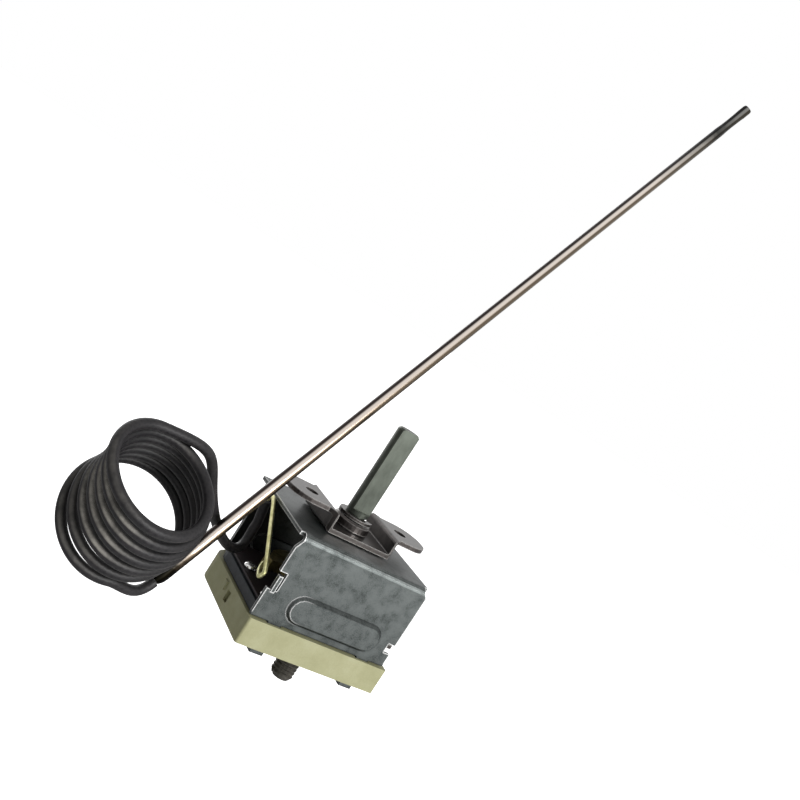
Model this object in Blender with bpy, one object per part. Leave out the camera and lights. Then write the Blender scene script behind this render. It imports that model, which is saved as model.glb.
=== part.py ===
"""Oven-type capillary thermostat: zinc cover, steatite base, D-spindle, snap switch, phial and coil.

Metres, +Z along the spindle towards the knob. The origin is on the spindle's axis, in the plane of
the two ears' upper faces, which bear on the back of the control panel. +X runs along the body:
the coil and the open end of the cover are at -X, and the long ribbed panel is at -Y.
"""

import math

import bmesh
import bpy
from mathutils import Matrix, Vector

# Clearances
GAP = 0.0003                  # between pieces that touch
RUN_GAP = 0.0003              # round a pin or spindle in its hole
PAST = 0.001                  # how far a cutter runs past what it cuts
PANEL_CUT = 0.0006            # the same for a panel's edges, clear of the lugs
ROUND_LIMIT = 0.95            # an end's rounding is never more than this share of its half width

# Mount plate with its two raised ears
PLATE_THICKNESS = 0.0012
PLATE_WIDTH = 0.0170
PLATE_BEND = 0.0009
EAR_REACH = 0.0211            # spindle axis to the end of an ear
EAR_WIDTH = 0.0130
EAR_RISE = 0.0055             # ears' upper faces above the cover's top
EAR_ROOT = 0.0100             # outer face of the leg that lifts an ear
EAR_FLARE = 0.0008            # plan of the plate: full width this far inside the legs
EAR_NECK = 0.0010             # and an ear's width this far outside them
EAR_CORNER = 0.00598
SCREW_SPACING = 0.0280
SCREW_HOLE_RADIUS = 0.00175

# Cover
SHEET = 0.0010
COVER_LEFT = -0.0198
COVER_LENGTH = 0.0390
COVER_DEPTH = 0.0342
COVER_HEIGHT = 0.0220
COVER_BEND = 0.0016
TOP_SETBACK = 0.0005          # the top's left edge behind the panels' lower left edges
STEP_HEIGHT = 0.0075          # where a panel's left edge steps back
STEP_SETBACK = 0.0006
NOTCH_HEIGHT = 0.0044
NOTCH_UNDERCUT = 0.0003       # notch's lower edge below the step
NOTCH_DEPTH = 0.0027
NOTCH_TAB_X = 0.0011          # small tab that stands in the front panel's notch
NOTCH_TAB_WIDTH = 0.0010
NOTCH_TAB_HEIGHT = 0.0037
NOTCH_TAB_PROUD = 0.0003
NOTCH_TAB_INSET = 0.0001      # tab's back outside the panel's inner face
NOTCH_TAB_ROOT = 0.0006       # how far the tab grows out of the panel below the notch
REAR_SETBACK = 0.0028         # the rear panel's left edge, behind the front panel's
CORNER_CUT_X = 0.0010
CORNER_CUT_Z = 0.0022
RIB_LENGTH = 0.0256
RIB_HEIGHT = 0.0060
RIB_RAISE = 0.0009
RIB_CENTRE_X = 0.0009
RIB_LIFT = 0.0052             # rib's centre line above the panel's lower edge
RIB_DRAFT = 0.0007
RIB_ROOT = 0.0004             # how far the rib's form starts inside the panel's face
RIB_HOLLOW_ROOT = 0.0005      # and its hollow's, inside the panel's back
RIB_INSIDE = 0.0010           # the hollow behind a rib is this much smaller
LUG_X = 0.0130
LUG_WIDTH = 0.0036
LUG_DROP = 0.0014             # lug's foot below the base
LUG_FOOT = 0.0034
LUG_ROOT = 0.0006             # how far a lug grows into its panel
LUG_SEAT = 0.0012             # slit below the lever's tabs in the panels
STOP_TAB_WIDTH = 0.0072
STOP_TAB_RADIUS = 0.0074
STOP_TAB_DROP = 0.0036

# Base
BASE_THICKNESS = 0.0067
BASE_LIP = 0.0012             # how far the base stands out beyond the cover
BASE_LEFT = -0.0200
BASE_LENGTH = 0.0403
BASE_CORNER = 0.0070
BASE_ARRIS = 0.0007
BLOCK_RISE = 0.0029
POCKET_DEPTH = 0.0071
POCKET_LEFT = -0.0150
POCKET_LENGTH = 0.0295
POCKET_FRONT = -0.0012
POCKET_WIDTH = 0.0127
POCKET_CORNER = 0.0012
END_BOSS_Y = 0.0001           # moulding nub and recess on the base's left end
END_BOSS_WIDTH = 0.0018
END_BOSS_HEIGHT = 0.0022
END_BOSS_PROUD = 0.0005
END_BOSS_LIFT = 0.0003        # boss's lower end above the middle of the base's end
END_RECESS_Y = -0.0036
END_RECESS_WIDTH = 0.0022
END_RECESS_DEPTH = 0.0010
END_RECESS_BELOW = 0.0012
END_RECESS_ABOVE = 0.0016

# Spindle, bush, stop disc and clip
SPINDLE_RADIUS = 0.0030
FLAT_CUT = 0.0050             # how far from the axis the flat's cutter reaches
SPINDLE_REACH = 0.0240        # tip above the ears' faces
SPINDLE_CHAMFER = 0.0005
FLAT_LENGTH = 0.0230
ACROSS_FLAT = 0.0045
THREAD_RADIUS = 0.0025
THREAD_LENGTH = 0.0062
BUSH_RADIUS = 0.0043
BUSH_COLLAR = 0.0050
BUSH_FLANGE = 0.0060
BUSH_FLANGE_HEIGHT = 0.0012
BUSH_COLLAR_TOP = -0.0015
BUSH_SWAGE = 0.0005           # rounding of the collar's rim
DISC_RADIUS = 0.0062
DISC_LUG_REACH = 0.0090
DISC_LUG_ANGLE = math.radians(26.0)
DISC_THICKNESS = 0.0012
DISC_REST_ANGLE = math.radians(45.0)
CLIP_THICKNESS = 0.0008
CLIP_REACH = 0.0046
CLIP_GROOVE = 0.0005
CLIP_OPENING = math.radians(35.0)
CLIP_MOUTH = 1.4              # the gap widens inwards by this share

# Switch in the base
SWITCH_Y = 0.0030
PIN_X = -0.0015
PIN_RADIUS = 0.0015
PIN_EDGE = 0.0004
CONTACT_X = -0.0085
ROOT_X = 0.0103
BLADE_LEFT = -0.0103
BLADE_RIGHT = 0.0122
BLADE_PIVOT_X = 0.0080
BLADE_THICKNESS = 0.0003
BLADE_WIDTH = 0.0050
BLADE_LIFT = 0.0029           # blade's upper face above the pocket's floor
BLADE_END = 0.00225           # rounding of the blade's ends
BLADE_EDGE = 0.0004
BLADE_SLOT_LENGTH = 0.0130
BLADE_SLOT_WIDTH = 0.0006
BLADE_SLOT_Y = 0.0014         # slot's centre line from the blade's
BLADE_SLOT_SHIFT = 0.0006
TAB_WIDTH = 0.0063
TAB_THICKNESS = 0.0008
TAB_LENGTH = 0.0080
TAB_Y = 0.0104
FIXED_TAB_X = -0.0070
COMMON_TAB_X = 0.01015
TAB_SHOULDER = 0.0011         # a tab's end narrows by this on each side
TAB_TAPER = 0.0018            # over this height
STRIP_RELIEF = 0.0012         # clearance of the common strip from its tab's bend
STRIP_MARGIN = 0.0005         # the common strip's end past the blade's pivot
CONTACT_RADIUS = 0.0015
CONTACT_HEIGHT = 0.0006
SHANK_RADIUS = 0.0007
SHANK_TAIL = 0.0004
SHANK_SPREAD = 0.0006         # how far a closed tail stands out
HEAD_CROWN = 0.8              # flat top of a head as a share of its radius

# Insulating board and its two rivets
BOARD_THICKNESS = 0.0006
BOARD_MARGIN = 0.0012
BOARD_PLAY = 0.0002           # board's long edges inside the block's
BOARD_STOP = 0.0016           # board's right edge before the lever's pivot
BOARD_CORNER = 0.0010
BOARD_RIVET_X = -0.0165
BOARD_RIVET_YS = (-0.0133, 0.0010)
BOARD_RIVET_RADIUS = 0.0017
BOARD_RIVET_HEIGHT = 0.0010
BOARD_RIVET_LENGTH = 0.0040

# Lever
LEVER_THICKNESS = 0.0010
LEVER_PIVOT_X = 0.0181
LEVER_PLAY = 0.0008           # capsule's rim down to the lever
LEVER_TAB = 0.0012
LEVER_SETBACK = 0.0003        # ends of the lever's tabs inside the panels' outer faces
LEVER_SHOULDER = 0.0012       # width of the crossbar before the tabs
LEVER_SLOT_LENGTH = 0.0110
LEVER_SLOT_WIDTH = 0.0018
LEVER_SLOT_SHIFT = 0.0020
LEVER_SLOT_Y = 0.62           # slot's centre line as a share of half the lever's width
LEVER_WIDTH = 0.0120
LEVER_LEFT = -0.0080
SHOULDER_X = 0.0120

# Capsule and its thrust cup
CAPSULE_RADIUS = 0.0125
CAPSULE_Z = -0.0200
CAPSULE_HALF = 0.0011
STUD_RADIUS = 0.0020
CUP_RADIUS = 0.0055
CUP_HEIGHT = 0.0063
CUP_WALL = 0.0010
CUP_CHAMFER = 0.0006
CAPSULE_TRAVEL = 0.0006
NECK_ANGLE = math.radians(190.0)
NECK_LENGTH = 0.0034
NECK_WALL = 0.0009
NECK_OVERLAP = 0.0012         # how far the neck reaches in over the rim
NECK_BELOW = 0.0009
NECK_STOP = 0.0006            # where the capillary's end stops, outside the rim

# Capillary, coil and phial
CAPILLARY_RADIUS = 0.00055
WIRE_STRAIGHT = 0.0036        # straight run out of the rim before the first bend
WIRE_BENDS = (Vector((-0.0178, -0.0058, -0.0206)), Vector((-0.0197, -0.0106, -0.0208)),
              Vector((-0.0202, -0.0128, -0.0195)), Vector((-0.0202, -0.0122, -0.0178)),
              Vector((-0.0202, -0.0050, -0.0122)), Vector((-0.0202, 0.0014, -0.0073)),
              Vector((-0.0203, 0.0034, -0.0064)), Vector((-0.0203, 0.0049, -0.0070)))
SLEEVE_RADIUS = 0.00105
COIL_TURNS = 7.1              # turns of the whole winding that the bunch follows
COIL_JOINS_AT = 2.0           # radians of the first turn taken up by the lead-in
COIL_LEAVES_AT = 6.83         # turns after which the lead-out begins
COIL_NEAR_CENTRE = Vector((-0.05847, -0.02622, -0.00358))
COIL_FAR_CENTRE = Vector((-0.05604, -0.01053, -0.02203))
COIL_SAG = Vector((0.00234, 0.00008, 0.00005))
COIL_NEAR_RADIUS = 0.01156
COIL_FAR_RADIUS = 0.01303
COIL_SWELL = 0.0003
COIL_FAN_AXIS = Vector((0.943, -0.201, -0.265)).normalized()
COIL_NEAR_NORMAL = Vector((-0.125, 0.526, -0.841)).normalized()
COIL_FAN = math.radians(20.3)
STEPS_PER_TURN = 26
SLEEVE_TOP = Vector((-0.0202, 0.0052, -0.0086))
SLEEVE_START = Vector((-0.0192, 0.0050, -0.0145))
SLEEVE_DROP = Vector((-0.00089, 0.00030, -0.00596))
SLEEVE_GUIDES = (Vector((-0.01377, -0.00079, -0.03555)), Vector((-0.05775, -0.00770, -0.00328)))
COIL_PULL = 0.02794
LEAD_OUT_PULLS = (0.0036, 0.0060)
PHIAL_ROOT = Vector((-0.0426, -0.0146, -0.0295))
PHIAL_AZIMUTH = math.radians(31.3)
PHIAL_ELEVATION = math.radians(53.8)
PHIAL_LENGTH = 0.2355
PHIAL_RADIUS = 0.0015
PINCH_LENGTH = 0.0170
SWAGE = ((0.0, 0.0009), (0.0004, 0.0011))              # distance from the root, radius
SWAGE_LENGTH = 0.0022
PINCH = ((0.0025, 0.00125, 0.92), (0.0060, 0.00115, 0.80), (0.0110, 0.00120, 0.62),
         (0.0130, 0.00145, 0.50), (0.0162, 0.00150, 0.50), (0.0170, 0.00110, 0.40))

# Calibration screw
CAL_X = -0.0010
CAL_Y = -0.0120
CAL_RADIUS = 0.0029
CAL_DROP = 0.0065
CAL_SLOT = 0.0008
CAL_SLOT_DEPTH = 0.0012
CAL_PITCH = 0.0010
CAL_THREAD = 0.0003           # depth of the thread
CAL_TIP = 0.0006              # chamfer of the end
CAL_LEAD = 0.0005
CAL_RUNOUT = 0.0004           # the thread stops this far below the base
SEAL_RADIUS = 0.0009
SEAL_HEIGHT = 0.0013
SEAL_SHIFT = 0.0008

# Levels and edges that follow from the sizes above
COVER_TOP = -EAR_RISE
COVER_BOTTOM = COVER_TOP - COVER_HEIGHT
WEB_BOTTOM = COVER_TOP - SHEET
COVER_RIGHT = COVER_LEFT + COVER_LENGTH
COVER_HALF = COVER_DEPTH / 2
PLATE_TOP = COVER_TOP + GAP + PLATE_THICKNESS
LEDGE_TOP = COVER_BOTTOM - GAP
BASE_BOTTOM = LEDGE_TOP - BASE_THICKNESS
NOTCH_LOW = COVER_BOTTOM + STEP_HEIGHT - NOTCH_UNDERCUT
BASE_RIGHT = BASE_LEFT + BASE_LENGTH
BASE_HALF = COVER_HALF + BASE_LIP
BLOCK_TOP = LEDGE_TOP + BLOCK_RISE
BLOCK_HALF = COVER_HALF - SHEET - GAP
POCKET_FLOOR = BLOCK_TOP - POCKET_DEPTH
BOARD_BOTTOM = BLOCK_TOP + GAP
BOARD_TOP = BOARD_BOTTOM + BOARD_THICKNESS
LEVER_TOP = CAPSULE_Z - CAPSULE_HALF - LEVER_PLAY
LEVER_BOTTOM = LEVER_TOP - LEVER_THICKNESS
LEVER_PIVOT_Z = (LEVER_TOP + LEVER_BOTTOM) / 2
BLADE_TOP = POCKET_FLOOR + BLADE_LIFT
BLADE_BOTTOM = BLADE_TOP - BLADE_THICKNESS
PIN_TOP = LEVER_BOTTOM - GAP
PIN_BOTTOM = BLADE_TOP + GAP
MOVING_TOP = BLADE_TOP + GAP + CONTACT_HEIGHT
FIXED_BOTTOM = MOVING_TOP + GAP
FIXED_STRIP = FIXED_BOTTOM + CONTACT_HEIGHT + GAP
COMMON_STRIP = BLADE_BOTTOM - GAP - TAB_THICKNESS
TAB_END = BASE_BOTTOM - TAB_LENGTH
FLANGE_TOP = WEB_BOTTOM - GAP
FLANGE_BOTTOM = FLANGE_TOP - BUSH_FLANGE_HEIGHT
DISC_TOP = FLANGE_BOTTOM - GAP
DISC_BOTTOM = DISC_TOP - DISC_THICKNESS
CLIP_BOTTOM = BUSH_COLLAR_TOP + GAP
CUP_BOTTOM = CAPSULE_Z + CAPSULE_HALF + GAP
CUP_TOP = CUP_BOTTOM + CUP_HEIGHT
THREAD_BOTTOM = CUP_BOTTOM + CUP_WALL + CAPSULE_TRAVEL + 2 * GAP
THREAD_TOP = THREAD_BOTTOM + THREAD_LENGTH


def clear_scene():
    """Remove whatever the file opened with."""
    for item in list(bpy.data.objects):
        bpy.data.objects.remove(item, do_unlink=True)


def material(name, colour, roughness, metallic):
    """A Principled material in one plain colour."""
    made = bpy.data.materials.new(name)
    made.use_nodes = True
    shader = made.node_tree.nodes["Principled BSDF"]
    shader.inputs["Base Color"].default_value = (*colour, 1.0)
    shader.inputs["Roughness"].default_value = roughness
    shader.inputs["Metallic"].default_value = metallic
    return made


def solid(name, verts, faces, surface=None):
    """An object from vertices and faces, with its faces turned outwards."""
    mesh = bpy.data.meshes.new(name)
    mesh.from_pydata([tuple(v) for v in verts], [], faces)
    bm = bmesh.new()
    bm.from_mesh(mesh)
    bmesh.ops.recalc_face_normals(bm, faces=bm.faces)
    bm.to_mesh(mesh)
    bm.free()
    item = bpy.data.objects.new(name, mesh)
    bpy.context.scene.collection.objects.link(item)
    if surface is not None:
        mesh.materials.append(surface)
    return item


def prism(name, outline, low, high, surface=None, axes="XY"):
    """An outline of (u, v) points drawn out along the third axis from low to high."""
    order = {"XY": (0, 1, 2), "XZ": (0, 2, 1), "YZ": (1, 2, 0)}[axes]
    verts = []
    for level in (low, high):
        for u, v in outline:
            point = [0.0, 0.0, 0.0]
            point[order[0]] = u
            point[order[1]] = v
            point[order[2]] = level
            verts.append(point)
    count = len(outline)
    faces = [list(range(count))[::-1], list(range(count, 2 * count))]
    for i in range(count):
        j = (i + 1) % count
        faces.append([i, j, count + j, count + i])
    return solid(name, verts, faces, surface)


def box(name, x, y, z, surface=None):
    """A box between pairs of coordinates."""
    return prism(name, [(x[0], y[0]), (x[1], y[0]), (x[1], y[1]), (x[0], y[1])], z[0], z[1], surface)


def lathe(name, profile, segments=32, surface=None):
    """A closed profile of (radius, z) points turned about Z. Points on the axis become one vertex."""
    verts = []
    rings = []
    for radius, z in profile:
        if radius < 1e-7:
            rings.append([len(verts)] * segments)
            verts.append((0.0, 0.0, z))
            continue
        rings.append(list(range(len(verts), len(verts) + segments)))
        for k in range(segments):
            angle = 2 * math.pi * k / segments
            verts.append((radius * math.cos(angle), radius * math.sin(angle), z))
    faces = []
    for i, ring in enumerate(rings):
        after = rings[(i + 1) % len(rings)]
        for k in range(segments):
            m = (k + 1) % segments
            corner = []
            for index in (ring[k], ring[m], after[m], after[k]):
                if index not in corner:
                    corner.append(index)
            if len(corner) > 2:
                faces.append(corner)
    return solid(name, verts, faces, surface)


def cylinder(name, x, y, radius, low, high, segments=24):
    """A plain cylinder along Z, used for holes and pins."""
    outline = [(x + radius * math.cos(2 * math.pi * k / segments),
                y + radius * math.sin(2 * math.pi * k / segments)) for k in range(segments)]
    return prism(name, outline, low, high)


def rounded(points, radii, steps=5):
    """A polygon with each corner rounded by its own radius."""
    out = []
    count = len(points)
    for i, radius in enumerate(radii):
        here = Vector(points[i])
        before = (Vector(points[i - 1]) - here).normalized()
        after = (Vector(points[(i + 1) % count]) - here).normalized()
        if radius <= 0:
            out.append(tuple(here))
            continue
        half = before.angle(after) / 2
        centre = here + (before + after).normalized() * (radius / math.sin(half))
        start = here + before * (radius / math.tan(half)) - centre
        end = here + after * (radius / math.tan(half)) - centre
        sweep = math.atan2(start.x * end.y - start.y * end.x, start.dot(end))
        for k in range(steps + 1):
            turn = Matrix.Rotation(sweep * k / steps, 2)
            out.append(tuple(centre + turn @ start))
    return out


def stadium(centre_x, centre_z, length, height, steps=8):
    """An oblong with round ends."""
    radius = height / 2
    out = []
    for side, turn in ((1, -math.pi / 2), (-1, math.pi / 2)):
        middle = centre_x + side * (length / 2 - radius)
        for k in range(steps + 1):
            angle = turn + math.pi * k / steps
            out.append((middle + radius * math.cos(angle), centre_z + radius * math.sin(angle)))
    return out


def combine(body, tool, operation):
    """Apply one exact Boolean and drop the tool."""
    change = body.modifiers.new(operation, "BOOLEAN")
    change.operation = operation
    change.solver = "EXACT"
    change.object = tool
    bpy.context.view_layer.update()
    graph = bpy.context.evaluated_depsgraph_get()
    shaped = bpy.data.meshes.new_from_object(body.evaluated_get(graph))
    body.modifiers.clear()
    old = body.data
    body.data = shaped
    bpy.data.meshes.remove(old)
    used = tool.data
    bpy.data.objects.remove(tool, do_unlink=True)
    bpy.data.meshes.remove(used)


def cut(body, *tools):
    """Take each tool away from the body."""
    for tool in tools:
        combine(body, tool, "DIFFERENCE")


def join(body, *tools):
    """Fuse each tool to the body."""
    for tool in tools:
        combine(body, tool, "UNION")


def shade(item, degrees=30.0):
    """Smooth faces that meet at a shallow angle."""
    item.data.shade_smooth()
    item.data.set_sharp_from_angle(angle=math.radians(degrees))
    return item


def put_origin(item, point):
    """Move an object's origin to its joint's axis without moving its shape."""
    item.data.transform(Matrix.Translation(-Vector(point)))
    item.location = point


def tube(name, path, radius, sides, surface):
    """A round bar along a path, with flat ends and no twist."""
    verts = []
    side = None
    for i, point in enumerate(path):
        before = path[max(i - 1, 0)]
        after = path[min(i + 1, len(path) - 1)]
        along = (after - before).normalized()
        if side is None:
            side = along.orthogonal().normalized()
        side = (side - along * side.dot(along)).normalized()
        up = along.cross(side)
        for k in range(sides):
            angle = 2 * math.pi * k / sides
            verts.append(point + radius * (math.cos(angle) * side + math.sin(angle) * up))
    faces = [list(range(sides))[::-1]]
    for i in range(len(path) - 1):
        for k in range(sides):
            m = (k + 1) % sides
            faces.append([i * sides + k, i * sides + m, (i + 1) * sides + m, (i + 1) * sides + k])
    last = (len(path) - 1) * sides
    faces.append(list(range(last, last + sides)))
    return shade(solid(name, verts, faces, surface), 50.0)


def smooth_path(points, steps):
    """A Catmull-Rom curve through points."""
    padded = [points[0] * 2 - points[1], *points, points[-1] * 2 - points[-2]]
    out = []
    for i in range(1, len(padded) - 2):
        a, b, c, d = padded[i - 1:i + 3]
        for k in range(steps):
            t = k / steps
            out.append(0.5 * (2 * b + (c - a) * t + (2 * a - 5 * b + 4 * c - d) * t * t
                              + (3 * b - a - 3 * c + d) * t ** 3))
    out.append(points[-1])
    return out


def bezier(controls, steps):
    """Points strictly between the ends of the curve that a row of control points pulls along."""
    order = len(controls) - 1
    out = []
    for k in range(1, steps):
        t = k / steps
        point = Vector((0.0, 0.0, 0.0))
        for i, control in enumerate(controls):
            point += control * (math.comb(order, i) * (1 - t) ** (order - i) * t ** i)
        out.append(point)
    return out


def panel_cutters(side):
    """Cutters for one side panel's edges: stepped left edge, notch in the front one, corners, slit."""
    inner = side * (COVER_HALF - SHEET - PANEL_CUT)
    outer = side * (COVER_HALF + PANEL_CUT)
    y = (min(inner, outer), max(inner, outer))
    far_left = COVER_LEFT - PAST
    if side > 0:
        step = box("step", (far_left, COVER_LEFT + REAR_SETBACK), y, (COVER_BOTTOM - PAST, COVER_TOP + PAST))
        return [step, *right_cutters(y)]
    step = box("step", (far_left, COVER_LEFT + STEP_SETBACK), y,
               (COVER_BOTTOM + STEP_HEIGHT, COVER_TOP + PAST))
    notch = box("notch", (far_left, COVER_LEFT + NOTCH_DEPTH), y,
                (NOTCH_LOW, COVER_BOTTOM + STEP_HEIGHT + NOTCH_HEIGHT))
    left = COVER_LEFT + STEP_SETBACK
    corner = prism("corner", [(far_left, COVER_TOP + PAST), (left + CORNER_CUT_X, COVER_TOP + PAST),
                              (left + CORNER_CUT_X, COVER_TOP - COVER_BEND),
                              (left, COVER_TOP - COVER_BEND - CORNER_CUT_Z),
                              (far_left, COVER_TOP - COVER_BEND - CORNER_CUT_Z)], y[0], y[1], axes="XZ")
    return [step, notch, corner, *right_cutters(y)]


def right_cutters(y):
    """Cutters for a side panel's right edge: the corner and the slit that the lever rocks in."""
    right = prism("right", [(COVER_RIGHT + PAST, COVER_TOP - CORNER_CUT_Z),
                            (COVER_RIGHT, COVER_TOP - CORNER_CUT_Z),
                            (COVER_RIGHT - CORNER_CUT_X, COVER_TOP - COVER_BEND * 0.5),
                            (COVER_RIGHT - CORNER_CUT_X, COVER_TOP + PAST),
                            (COVER_RIGHT + PAST, COVER_TOP + PAST)], y[0], y[1], axes="XZ")
    seat = box("seat", (LEVER_PIVOT_X - LEVER_TAB / 2 - GAP, COVER_RIGHT + PAST), y,
               (LEVER_BOTTOM - LUG_SEAT, LEVER_TOP + GAP))
    return [right, seat]


def panel_rib(side):
    """The oblong rib pressed outwards in a side panel: the form to add, and the hollow behind it."""
    centre_z = COVER_BOTTOM + RIB_LIFT
    face = side * COVER_HALF
    rings = []
    for depth, grow in ((-RIB_ROOT, RIB_DRAFT), (0.0, RIB_DRAFT), (RIB_RAISE, 0.0)):
        rings.append([(u, face + side * depth, v) for u, v in
                      stadium(RIB_CENTRE_X, centre_z, RIB_LENGTH + 2 * grow, RIB_HEIGHT + 2 * grow)])
    raised = loft("rib", rings)
    rings = []
    back = face - side * SHEET
    for depth, grow in ((-RIB_HOLLOW_ROOT, RIB_DRAFT), (0.0, RIB_DRAFT), (RIB_RAISE, 0.0)):
        rings.append([(u, back + side * depth, v) for u, v in
                      stadium(RIB_CENTRE_X, centre_z, RIB_LENGTH - RIB_INSIDE + 2 * grow,
                              RIB_HEIGHT - RIB_INSIDE + 2 * grow)])
    return raised, loft("hollow", rings)


def loft(name, rings, surface=None):
    """A closed skin over rings of equal count, with flat ends."""
    count = len(rings[0])
    verts = [point for ring in rings for point in ring]
    faces = [list(range(count))[::-1]]
    for i in range(len(rings) - 1):
        for k in range(count):
            m = (k + 1) % count
            faces.append([i * count + k, i * count + m, (i + 1) * count + m, (i + 1) * count + k])
    start = (len(rings) - 1) * count
    faces.append(list(range(start, start + count)))
    return solid(name, verts, faces, surface)


def make_cover(surface):
    """The U-shaped cover: top, two ribbed side panels, lugs through the base and the stop tab."""
    outer = COVER_HALF
    inner = COVER_HALF - SHEET
    section = [(-outer, COVER_BOTTOM), (-inner, COVER_BOTTOM), (-inner, WEB_BOTTOM), (inner, WEB_BOTTOM),
               (inner, COVER_BOTTOM), (outer, COVER_BOTTOM), (outer, COVER_TOP), (-outer, COVER_TOP)]
    bend = COVER_BEND - SHEET
    radii = [0, 0, bend, bend, 0, 0, COVER_BEND, COVER_BEND]
    cover = prism("cover", rounded(section, radii), COVER_LEFT, COVER_RIGHT, surface, axes="YZ")
    for side in (-1, 1):
        for x in (-LUG_X, LUG_X):
            join(cover, panel_lug(x, side))
        raised, hollow = panel_rib(side)
        join(cover, raised)
        cut(cover, hollow)
        cut(cover, *panel_cutters(side))
    tab_left = COVER_LEFT + NOTCH_TAB_X
    join(cover, box("notch_tab", (tab_left, tab_left + NOTCH_TAB_WIDTH),
                    (-outer - NOTCH_TAB_PROUD, -inner - NOTCH_TAB_INSET),
                    (NOTCH_LOW - NOTCH_TAB_ROOT, NOTCH_LOW + NOTCH_TAB_HEIGHT)))
    setback = box("setback", (COVER_LEFT - PAST, COVER_LEFT + TOP_SETBACK),
                  (-inner, inner), (WEB_BOTTOM - PAST, COVER_TOP + PAST))
    cut(cover, setback)
    cut(cover, cylinder("bush_hole", 0, 0, BUSH_RADIUS + GAP, WEB_BOTTOM - PAST, COVER_TOP + PAST, 32))
    tab_outer = STOP_TAB_RADIUS + SHEET
    window = box("window", (-STOP_TAB_WIDTH / 2, STOP_TAB_WIDTH / 2),
                 (tab_outer, tab_outer + STOP_TAB_DROP), (WEB_BOTTOM - PAST, COVER_TOP + PAST))
    cut(cover, window)
    stop = box("stop", (-STOP_TAB_WIDTH / 2, STOP_TAB_WIDTH / 2), (STOP_TAB_RADIUS, tab_outer),
               (WEB_BOTTOM - STOP_TAB_DROP, COVER_TOP - SHEET / 2))
    join(cover, stop)
    return shade(cover)


def panel_lug(x, side):
    """A lug that passes through the base and is folded under it."""
    low = BASE_BOTTOM - LUG_DROP
    face = side * COVER_HALF
    back = side * (COVER_HALF - SHEET)
    toe = side * (COVER_HALF - LUG_FOOT)
    top = COVER_BOTTOM + LUG_ROOT
    sole = BASE_BOTTOM - GAP
    section = [(face, top), (face, low), (toe, low), (toe, low + SHEET), (back, low + SHEET), (back, top)]
    if low + SHEET > sole:
        section[3] = (toe, sole)
        section[4] = (back, sole)
    return prism("lug", section, x - LUG_WIDTH / 2, x + LUG_WIDTH / 2, axes="YZ")


def make_mount_plate(surface):
    """The mount plate: flat on the cover's top, stepped up at each end into a round screw ear."""
    low = PLATE_TOP - PLATE_THICKNESS
    inner = EAR_ROOT - PLATE_THICKNESS
    under = -PLATE_THICKNESS
    points = [(-EAR_REACH, 0), (-EAR_REACH, under), (-EAR_ROOT, under), (-EAR_ROOT, low), (EAR_ROOT, low),
              (EAR_ROOT, under), (EAR_REACH, under), (EAR_REACH, 0), (inner, 0), (inner, PLATE_TOP),
              (-inner, PLATE_TOP), (-inner, 0)]
    tight = PLATE_BEND / 3
    radii = [0, 0, tight, PLATE_BEND, PLATE_BEND, tight, 0, 0, PLATE_BEND, tight, tight, PLATE_BEND]
    half = PLATE_WIDTH / 2
    plate = prism("mount_plate", rounded(points, radii, 3), -half, half, surface, axes="XZ")
    ear = EAR_WIDTH / 2
    end = min(EAR_CORNER, ROUND_LIMIT * ear)
    plan = rounded([(-EAR_REACH, -ear), (-EAR_ROOT - EAR_NECK, -ear), (-EAR_ROOT + EAR_FLARE, -half),
                    (EAR_ROOT - EAR_FLARE, -half), (EAR_ROOT + EAR_NECK, -ear), (EAR_REACH, -ear),
                    (EAR_REACH, ear), (EAR_ROOT + EAR_NECK, ear), (EAR_ROOT - EAR_FLARE, half),
                    (-EAR_ROOT + EAR_FLARE, half), (-EAR_ROOT - EAR_NECK, ear), (-EAR_REACH, ear)],
                   [end, 0, 0, 0, 0, end, end, 0, 0, 0, 0, end], 8)
    combine(plate, prism("plan", plan, low - PAST, PAST), "INTERSECT")
    for x in (-SCREW_SPACING / 2, SCREW_SPACING / 2):
        cut(plate, cylinder("screw_hole", x, 0, SCREW_HOLE_RADIUS, under - PAST, PAST))
    cut(plate, cylinder("bush_hole", 0, 0, BUSH_RADIUS + GAP, low - PAST, PLATE_TOP + PAST, 32))
    return shade(plate)


def make_bush(surface):
    """The spindle's bearing, with a flange under the cover's top and a collar swaged over the plate."""
    bore = SPINDLE_RADIUS + RUN_GAP
    collar = PLATE_TOP + GAP
    profile = [(bore, FLANGE_BOTTOM), (BUSH_FLANGE, FLANGE_BOTTOM), (BUSH_FLANGE, FLANGE_TOP),
               (BUSH_RADIUS, FLANGE_TOP), (BUSH_RADIUS, collar), (BUSH_COLLAR, collar),
               (BUSH_COLLAR, BUSH_COLLAR_TOP - BUSH_SWAGE), (BUSH_COLLAR - BUSH_SWAGE, BUSH_COLLAR_TOP),
               (bore, BUSH_COLLAR_TOP)]
    return shade(lathe("spindle_bush", profile, 32, surface))


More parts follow.
